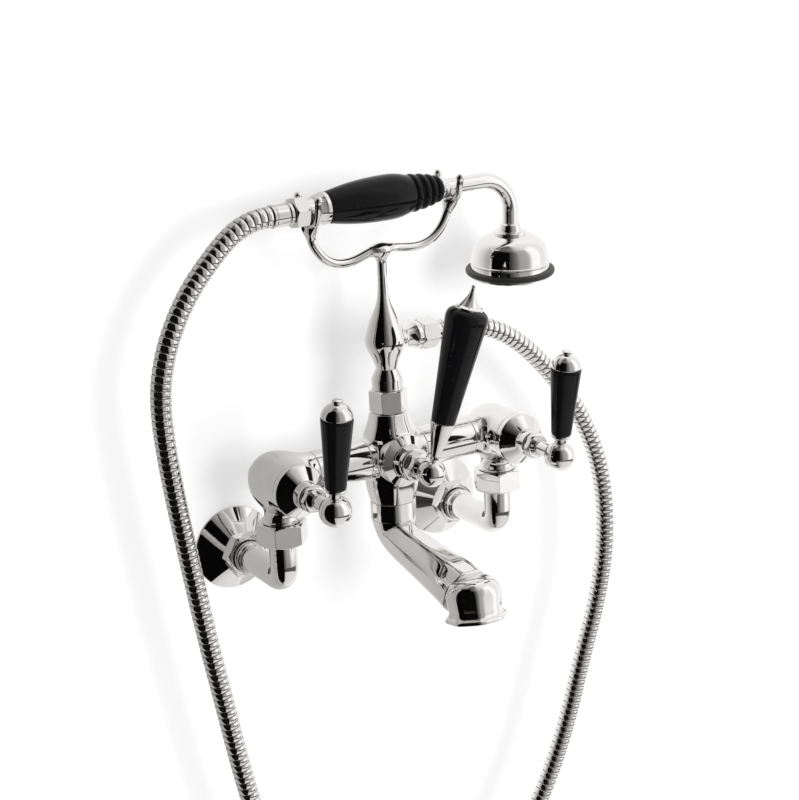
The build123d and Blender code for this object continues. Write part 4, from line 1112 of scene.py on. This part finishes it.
riser = {
    "nutFlats": 27.0, "nutLength": 18.5, "nutTurn": 10.0, "foot": 12.5, "bulb": 16.4, "stem": 3.9,
    "outletHeight": 177.0, "outletNeck": 9.5, "outletRing": 10.6, "outletReach": 30.0,
    "handsetHeight": 289.6, "yokeDrop": 46.6, "rod": 3.7, "fork": 16.0, "prong": 2.9, "prongBall": 3.2,
    "prongTop": 9.0, "hooks": (-61.0, 65.0), "saddles": (9.3, 7.1), "clearance": 0.3, "tilt": 1.1,
    "nutBores": (11.1, 9.6), "spigot": 9.5, "thread": 7.9, "threadLength": 6.0, "outletStart": 12.0,
    "cut": 0.6, "outletCut": 17.0, "outletBlend": 4.0, "boughBlend": 8.0,
    "vaseHalf": 18.5, "yokeHalf": 20.0, "yokeMargin": 6.0, "yokeTop": 15.0, "yokeCell": 1.0,
    # the waist of the vase, as shares of the height up to the outlet and of the bulb
    "waist": (0.436, 0.524),
    # share of that height and of the bulb below the outlet; the same above it, of the height up to the yoke
    "vaseBelow": [(0.564, 0.616), (0.795, 0.866)],
    "vaseAbove": [(0.136, 0.884), (0.288, 0.66), (0.448, 0.384)],
    "stemFrom": 0.758,
    # middle line of a prong, as shares of the fork and of its rise
    "prongs": [(0.3, 0.04), (0.6, 0.2), (0.88, 0.58), (1, 1)],
    # middle lines of the arms, as shares of the hook's reach and of the yoke's drop
    "arms": (
        [(0.13, 0.86), (0.33, 0.94), (0.57, 0.98), (0.75, 0.915), (0.89, 0.755), (0.98, 0.55)],
        [(0.12, 0.845), (0.34, 0.88), (0.54, 0.885), (0.71, 0.81), (0.85, 0.645), (0.94, 0.44)],
    ),
}


def rodField(at, line, radius):
    # distance from the nearest stretch of a polyline, less the radius
    near = None
    for a, b in zip(line, line[1:]):
        along = b - a
        share = np.clip(((at - a) @ along) / (along @ along), 0, 1)
        gap = ((at - a - share[..., None] * along) ** 2).sum(-1)
        near = gap if near is None else np.minimum(near, gap)
    return np.sqrt(near) - radius


def yokeLines():
    # the arms and prongs, as polylines with their radii
    height, drop, rod = riser["handsetHeight"], riser["yokeDrop"], riser["rod"]
    stemTop = height - drop
    lines = []
    for hook, saddle, arm in zip(riser["hooks"], riser["saddles"], riser["arms"]):
        rest = height + hook * np.tan(np.radians(riser["tilt"]))
        end = (hook, -legReach, rest - saddle - rod - riser["clearance"])
        knots = [(0, -legReach, stemTop + rod * 1.9)]
        knots += [(hook * reach, -legReach, height - drop * share) for reach, share in arm] + [end]
        lines.append((smoothThrough(knots, 3.0), rod))
        rise = rest + riser["prongTop"] - end[2]
        for front in (-1, 1):
            knots = [end] + [(hook, -legReach + front * riser["fork"] * out, end[2] + rise * up)
                             for out, up in riser["prongs"]]
            lines.append((smoothThrough(knots, 2.5), riser["prong"]))
    return lines


def vaseRadius():
    # radius of the vase above its waist, against the height
    nutTop, outlet = column["top"] + riser["nutLength"], riser["outletHeight"]
    stemTop, stem, bulb = riser["handsetHeight"] - riser["yokeDrop"], riser["stem"], riser["bulb"]
    lower, upper = outlet - nutTop, stemTop - outlet
    knots = [(nutTop + lower * up, bulb * wide) for up, wide in [riser["waist"]] + riser["vaseBelow"]]
    knots += [(outlet, bulb)] + [(outlet + upper * up, bulb * wide) for up, wide in riser["vaseAbove"]]
    knots += [(outlet + upper * riser["stemFrom"], stem)]
    return np.vstack([smoothThrough(knots), [stemTop, stem], [stemTop + 6, stem * 1.3]])


def makeRiser():
    # nut, then one casting: turned foot, vase with the hose outlet, stem, and the yoke with its prongs
    nutTop, outlet, reach = column["top"] + riser["nutLength"], riser["outletHeight"], riser["outletReach"]
    lower = outlet - nutTop
    foot, bulb, cut, spigot = (riser[k] for k in ("foot", "bulb", "cut", "spigot"))
    up = uprightPath(0)
    nut = hexagonNut(up, riser["nutFlats"], column["top"], nutTop, riser["nutBores"], riser["nutTurn"])
    addPiece("riserNut", nut)
    waistUp, waistWide = riser["waist"]
    base = [(0, nutTop - 4), (spigot, nutTop - 4), (spigot, nutTop + 0.1), (foot, nutTop + 0.1)]
    base += [(foot, nutTop + lower * 0.205), (bulb * 0.66, nutTop + lower * 0.32)]
    base += [(bulb * waistWide, nutTop + lower * waistUp), (0, nutTop + lower * waistUp)]
    neck, ring, thread, start = (riser[k] for k in ("outletNeck", "outletRing", "thread", "outletStart"))
    threadEnd = reach + riser["threadLength"]
    boss = [(0, start), (neck * 0.9, start), [(neck * 0.84, reach * 0.53), (ring, reach * 0.87)]]
    boss += [(ring, reach), (thread, reach), (thread, threadEnd), (0, threadEnd)]
    radii = vaseRadius()
    vaseLow, yokeLow = nutTop + lower * 0.4, radii[-1, 0] - 30
    lines = yokeLines()

    def upright(at, low, high):
        # the vase's radius about the upright axis, between two heights
        x, out, z = at[..., 0], -at[..., 1] - legReach, at[..., 2]
        body = np.hypot(x, out) - np.interp(z, radii[:, 0], radii[:, 1])
        return smoothCut(smoothCut(body, low - z, cut), z - high, cut)

    def vase(at):
        # lower turned body joined to the outlet's level arm
        x, out, z = at[..., 0], -at[..., 1] - legReach, at[..., 2]
        arm = np.hypot(out, z - outlet) - neck * 0.9
        arm = smoothCut(smoothCut(arm, x - riser["outletCut"], cut), -x, cut)
        return smoothJoin(upright(at, vaseLow, yokeLow + 3), arm, riser["outletBlend"])

    def yoke(at):
        # upper turned body joined to the boughs, with a ball on each prong's tip
        body = upright(at, yokeLow, radii[-1, 0])
        for line, radius in lines:
            body = smoothJoin(body, rodField(at, line, radius), riser["boughBlend"])
        for line, radius in lines:
            if radius == riser["prong"]:
                tip = np.sqrt(((at - line[-1]) ** 2).sum(-1)) - riser["prongBall"]
                body = smoothJoin(body, tip, cut)
        return body

    half = riser["vaseHalf"]
    low = (-half, -legReach - half, vaseLow - castMargin / 2)
    high = (half, -legReach + half, yokeLow + 3 + castMargin)
    lowPart = casting(vase, low, high, castCell)
    half, margin, (left, right) = riser["yokeHalf"], riser["yokeMargin"], riser["hooks"]
    low = (left - margin, -legReach - half, yokeLow - castMargin)
    high = (right + margin, -legReach + half, riser["handsetHeight"] + riser["yokeTop"])
    highPart = casting(yoke, low, high, riser["yokeCell"])
    addPiece("riserCradle", combined(turned(base, up), turned(boss, sidewaysPath(outlet)), lowPart, highPart))


makeRiser()
print("riser made")


union = {
    "flats": 22.0, "turn": 14.0, "nutBores": (8.0, 6.6), "sleeve": 8.9, "tail": 6.5, "bore": 4.5,
    # what a nut is longer than the male thread in it: washer, the hose's flange, a gap and the nut's lip
    "nutPast": (1.5, 1.6, 0.1, 3.4),
    # where each end's male thread starts, its length and the ferrule's length
    "outlet": (30.0, 8.4, 8.6), "handset": (64.6, 5.4, 17.0),
}
handsetTilt, handsetRoll = np.radians(riser["tilt"]), np.radians(4.0)
handsetMiddle = np.array([0, -legReach, riser["handsetHeight"]])
handsetAlong = np.array([np.cos(handsetTilt), 0, np.sin(handsetTilt)])
handsetDown = np.array([np.sin(handsetTilt) * np.cos(handsetRoll), np.sin(handsetRoll),
                        -np.cos(handsetTilt) * np.cos(handsetRoll)])
handsetPath = straightPath(handsetMiddle, handsetAlong, -handsetDown)
handsetLeftPath = straightPath(handsetMiddle, -handsetAlong, -handsetDown)


def makeUnion(name, path, body):
    # nut and ferrule at one end of the hose; returns them and the washer between
    start, thread, sleeveLength = union[name]
    nutEnd = start + thread
    for length in union["nutPast"]:
        nutEnd += length
    nut = hexagonNut(path, union["flats"], start, nutEnd, union["nutBores"], union["turn"])
    nut = addPiece(f"hose{name.capitalize()}Nut", nut, body)
    end, sleeve, tail, bore = nutEnd + 0.1 + sleeveLength, union["sleeve"], union["tail"], union["bore"]
    groove, grip = sleeve - 0.9, sleeve - 0.5
    ferrule = [(bore, nutEnd - 4), (tail, nutEnd - 4), (tail, nutEnd + 0.1), (sleeve, nutEnd + 0.1)]
    ferrule += [(sleeve, nutEnd + 3), (groove, nutEnd + 3.6), (groove, nutEnd + 4.2), (grip, nutEnd + 4.5)]
    ferrule += [(grip, end - 2.9), (groove, end - 2.6), (sleeve, end - 2), (sleeve, end), (bore, end)]
    ferrule += [(bore, nutEnd - 4)]
    skin = addPiece(f"hose{name.capitalize()}Ferrule", turned(ferrule, path, edge=0.3), body)
    return [nut, skin, frame["nodes"][f"hose_{name}_washer"]]


fittings = makeUnion("outlet", sidewaysPath(riser["outletHeight"]), "root")
fittings += makeUnion("handset", handsetLeftPath, "handset")
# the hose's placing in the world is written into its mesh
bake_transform(hosePiece)
print("hose unions made")


handset = {
    "nutStart": -64.6, "thread": 7.95, "threadLength": 5.4, "bore": 5.0, "collar": 9.3, "ferrule": 12.6,
    "gripLeft": -47.5, "gripRight": 54.5, "belly": 17.7,
    "ribs": [(24.5, 15.0), (16.5, 14.0), (9.5, 12.6), (3.0, 10.8)],  # from the right end, radius
    "gripAround": 120, "coneFoot": 9.2, "coneLength": 6.5, "tube": 6.5, "ring": 7.1, "bend": 28.5,
    "roseReach": 123.0, "drop": 44.0,
}
rose = {
    "radius": 32.4, "ring": 36.5, "base": -31.5, "ringDepth": 4.5, "around": 128,
    # share of the radius and the station of the bell's line, then radius and station up its neck
    "bell": [(0.957, -20), (0.907, -14), (0.802, -9.2), (0.617, -5.4)], "bellTop": (14.6, -3.6),
    "neck": [(13.2, -3.2), (13.7, -2.2), (13.5, -1), (9.6, -0.6), (8.2, 5), (6.5, 6), (0, 6)],
}
roseFoot = handsetMiddle + handsetAlong * handset["roseReach"] + handsetDown * handset["drop"]


def makeHandset():
    # collar, ribbed grip, and the tube that bends down to the rose
    left, right, belly = handset["gripLeft"], handset["gripRight"], handset["belly"]
    neck, ferrule, start, bore = (handset[k] for k in ("collar", "ferrule", "nutStart", "bore"))
    thread, threadEnd = handset["thread"], start - handset["threadLength"]
    collar = [(bore, threadEnd), (thread, threadEnd), (thread, start), (neck, start), (neck, left - 11)]
    collar += [(neck + 1, left - 10), (neck + 2.6, left - 4.5), (ferrule, left - 3), (ferrule, left)]
    collar += [(bore, left), (bore, threadEnd)]
    addPiece("handsetCollar", turned(collar, handsetPath), "handset")
    middle = (left + right) / 2
    grip = [(0, left), (ferrule - 1.0, left), (ferrule - 0.3, left + 2)]
    grip += [[(belly - 1.9, left + 22), (belly, middle), (belly - 0.7, middle + 13),
              (belly - 3.2, right - 28)]]
    for offset, radius in handset["ribs"]:
        top = right - offset
        grip += [(radius - 1.6, top - 3), [(radius, top), (radius - 1.8, top + 3)]]
    grip += [(0, right)]
    skin = turned(grip, handsetPath, edge=0.5, count=handset["gripAround"])
    addPiece("handsetGrip", skin, "handset", "black_grip")
    corner = handsetMiddle + handsetAlong * handset["roseReach"]
    path = bentPath(handsetMiddle + handsetAlong * right, corner, roseFoot, handset["bend"])
    tube, ring, cone, coneEnd = (handset[k] for k in ("tube", "ring", "coneFoot", "coneLength"))
    neckTube = [(0, 0), (cone, 0), (cone, coneEnd * 0.18), (ring, coneEnd), (ring, coneEnd + 1.4)]
    neckTube += [(tube, coneEnd + 1.4), (tube, path.length), (0, path.length)]
    addPiece("handsetTube", turned(neckTube, path, edge=0.3, step=1.0), "handset")


def makeRose():
    # bell with its rolled rim and neck, and the rubber ring round its edge
    path = straightPath(roseFoot, -handsetDown, handsetAlong)
    wide, base, outer = rose["radius"], rose["base"], rose["ring"]
    low = base - rose["ringDepth"]
    bell = [(0, low), (wide, low), (wide, base), (wide - 0.4, -27.4), (wide + 0.2, -27), (wide + 0.2, -26)]
    bell += [(wide * 0.975, -25.4), [(wide * share, at) for share, at in rose["bell"]] + [rose["bellTop"]]]
    addPiece("roseShell", turned(bell + rose["neck"], path, count=rose["around"]), "handset")
    ring = [(wide, low), (outer - 1.2, low), [(outer, low + 2.2), (outer - 1.2, base)], (wide, base)]
    ring += [(wide, low)]
    skin = turned(ring, path, edge=0.8, count=rose["around"])
    addPiece("roseRing", skin, "handset", "black_rubber")


makeHandset()
makeRose()
print("handset made")


# Stage and light. Azimuths are in degrees, 0 to the user and positive to +X.
studio = {
    "wallOffset": 0.4, "wallHalf": 2600.0, "wallEdge": 300.0, "wallGlow": 0.38, "wallMatte": 0.6,
    "wallShades": [(0.0, 0.64), (0.3, 0.68), (0.48, 0.80), (0.62, 0.92), (1.0, 0.94)],
    # rings of the room, each as (azimuth, shade), and the heights of a direction between which they meet
    "floor": [(-180, 0.7), (-120, 0.72), (-95, 0.55), (-72, 0.4), (-58, 0.4), (-47, 0.6), (-30, 0.74),
              (0, 0.82), (60, 0.86), (180, 0.84)],
    "low": [(-180, 0.66), (-120, 0.58), (-95, 0.30), (-80, 0.20), (-40, 0.20), (-20, 0.30), (64, 0.33),
            (78, 0.36), (88, 0.8), (180, 0.8)],
    "middle": [(-180, 0.72), (-140, 0.64), (-108, 0.58), (-99, 0.42), (-93, 0.24), (-86, 0.08), (-78, 0.03),
               (-38, 0.02), (-34, 0.20), (-24, 0.34), (-13, 0.46), (-5, 0.60), (22, 0.66), (29, 0.80),
               (36, 0.97), (60, 1.0), (70, 0.91), (100, 0.89), (180, 0.8)],
    "high": [(-180, 0.8), (-140, 0.7), (-105, 0.42), (-90, 0.34), (-50, 0.38), (-25, 0.48), (0, 0.74),
             (40, 0.86), (90, 0.9), (180, 0.84)],
    "joins": [(-0.56, -0.50), (-0.385, -0.36), (0.72, 0.88)],
    "evenLight": 0.8,  # what all but mirrored and camera rays see of the world
    "lamp": {"place": (0.0, -2400.0, 620.0), "size": 750.0, "power": 32.0},
    # black card at the left, as heights with the left and the right edge there
    "cardShade": 0.02,
    "card": [(520, (-560, -10), (-215, -335)), (-220, (-560, -10), (-215, -335)),
             (-420, (-380, -130), (-215, -335)), (-760, (-300, -160), (-200, -320))],
}


def linear(shade):
    # the light that a screen shows as this shade
    return ((shade + 0.055) / 1.055) ** 2.4


def shadeRamp(tree, share, stops, low, high):
    # greys against a value that goes from low to high, a little warm where they are dark
    ramp = node(tree, "ValToRGB", {"Fac": share})
    elements = ramp.color_ramp.elements
    while len(elements) < len(stops):
        elements.new(0.5)
    for element, (at, shade) in zip(elements, stops):
        light, warmth = linear(shade) / finish["chromeBright"][1], 0.05 * (1 - shade)
        element.position = (at - low) / (high - low)
        element.color = (light * (1 + warmth), light, light * (1 - warmth), 1)
    return ramp.outputs["Color"]


def grey(light):
    # colour of an even grey light
    return (light,) * 3 + (1,)


def mirroredRays(tree, path):
    # 1 for the rays that a mirror or a clear body sends on
    return calculate(tree, "MAXIMUM", path["Is Glossy Ray"], path["Is Transmission Ray"])


def makeWorld():
    # polished metal sees dark, mid and light fields round the room; all else sees even light
    world = bpy.data.worlds.new("world")
    bpy.context.scene.world = world
    world.use_nodes = True
    tree = world.node_tree
    direction = node(tree, "SeparateXYZ", {0: node(tree, "TexCoord").outputs["Generated"]}).outputs
    angle = calculate(tree, "ARCTAN2", direction[0], calculate(tree, "MULTIPLY", direction[1], -1.0))
    around = calculate(tree, "MULTIPLY_ADD", angle, 0.5 / np.pi, 0.5)
    room = shadeRamp(tree, around, studio["floor"], -180, 180)
    for ring, (start, end) in zip(("low", "middle", "high"), studio["joins"]):
        shades = shadeRamp(tree, around, studio[ring], -180, 180)
        room = blended(tree, between(tree, direction[2], start, end), room, shades)
    path = node(tree, "LightPath").outputs
    seen = blended(tree, mirroredRays(tree, path), grey(studio["evenLight"]), room)
    seen = blended(tree, path["Is Camera Ray"], seen, grey(1))
    tree.links.new(seen, tree.nodes["Background"].inputs["Color"])


def stageSheet(name, look, points, faces):
    # flat sheet of the stage, with the tree of its bare material and the socket for its surface
    mesh = bpy.data.meshes.new(name)
    mesh.from_pydata((np.array(points, float) * mm).tolist(), [], faces)
    material = bpy.data.materials.new(look)
    material.use_nodes = True
    tree = material.node_tree
    tree.nodes.remove(tree.nodes["Principled BSDF"])
    mesh.materials.append(material)
    sheet = bpy.data.objects.new(name, mesh)
    bpy.context.scene.collection.objects.link(sheet)
    sheet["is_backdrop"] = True
    return sheet, tree, tree.nodes["Material Output"].inputs["Surface"]


def makeWall():
    # white wall behind the flanges; seen from behind it is clear, and metal sees it shaded from left to right
    half, y = studio["wallHalf"], studio["wallOffset"]
    corners = [(-half, y, -half), (half, y, -half), (half, y, half), (-half, y, half)]
    tree, surface = stageSheet("wall", "whiteWall", corners, [(0, 1, 2, 3)])[1:]
    place = node(tree, "SeparateXYZ", {0: node(tree, "TexCoord").outputs["Object"]}).outputs
    edge = studio["wallEdge"] * mm
    share = node(tree, "MapRange", {"Value": place[0], "From Min": -edge, "From Max": edge}).outputs["Result"]
    shades = shadeRamp(tree, share, studio["wallShades"], 0, 1)
    mirrored = mirroredRays(tree, node(tree, "LightPath").outputs)
    glow = node(tree, "Emission", {"Color": blended(tree, mirrored, grey(studio["wallGlow"]), shades)})
    matte = node(tree, "BsdfDiffuse", {"Color": blended(tree, mirrored, grey(studio["wallMatte"]), grey(0))})
    front = node(tree, "AddShader", {0: glow.outputs[0], 1: matte.outputs[0]}).outputs[0]
    behind, clear = node(tree, "NewGeometry").outputs["Backfacing"], node(tree, "BsdfTransparent").outputs[0]
    tree.links.new(node(tree, "MixShader", {0: behind, 1: front, 2: clear}).outputs[0], surface)


def makeCard():
    # black card that only polished metal sees: near, so that each piece sees it in another place
    points = [(x, y, z) for z, *edges in studio["card"] for x, y in edges]
    faces = [(k, k + 1, k + 3, k + 2) for k in range(0, len(points) - 2, 2)]
    card, tree, surface = stageSheet("card", "blackCard", points, faces)
    glow = node(tree, "Emission", {"Color": grey(linear(studio["cardShade"]))})
    tree.links.new(glow.outputs[0], surface)
    card.visible_camera = card.visible_diffuse = card.visible_shadow = False


def makeLamp():
    # large soft lamp in front and a little above, turned to the object's middle
    place = np.array(studio["lamp"]["place"])
    data = bpy.data.lights.new("lamp", "AREA")
    data.size = studio["lamp"]["size"] * mm
    data.energy = studio["lamp"]["power"]
    lamp = bpy.data.objects.new("lamp", data)
    bpy.context.scene.collection.objects.link(lamp)
    back = unit(place)
    right = unit(np.cross((0, 0, 1), back))
    lamp.matrix_world = axesMatrix(right, np.cross(back, right), back, place)
    lamp.visible_glossy = False


makeWorld()
makeWall()
makeCard()
makeLamp()
print("stage and light set")


# Hand-over: each CAD node that is kept takes the look of its slot.
slotOf = {part["node"]: part["material_slot"] for part in frame["record"]["subparts"]}
for name, cadNode in frame["nodes"].items():
    cadNode.data.materials.clear()
    cadNode.data.materials.append(looks[slotLooks[slotOf[name]]])
bpy.context.scene.view_settings.view_transform = "Standard"
sizes = {"cad": cadBounds, "visual": [list(corner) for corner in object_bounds()]}
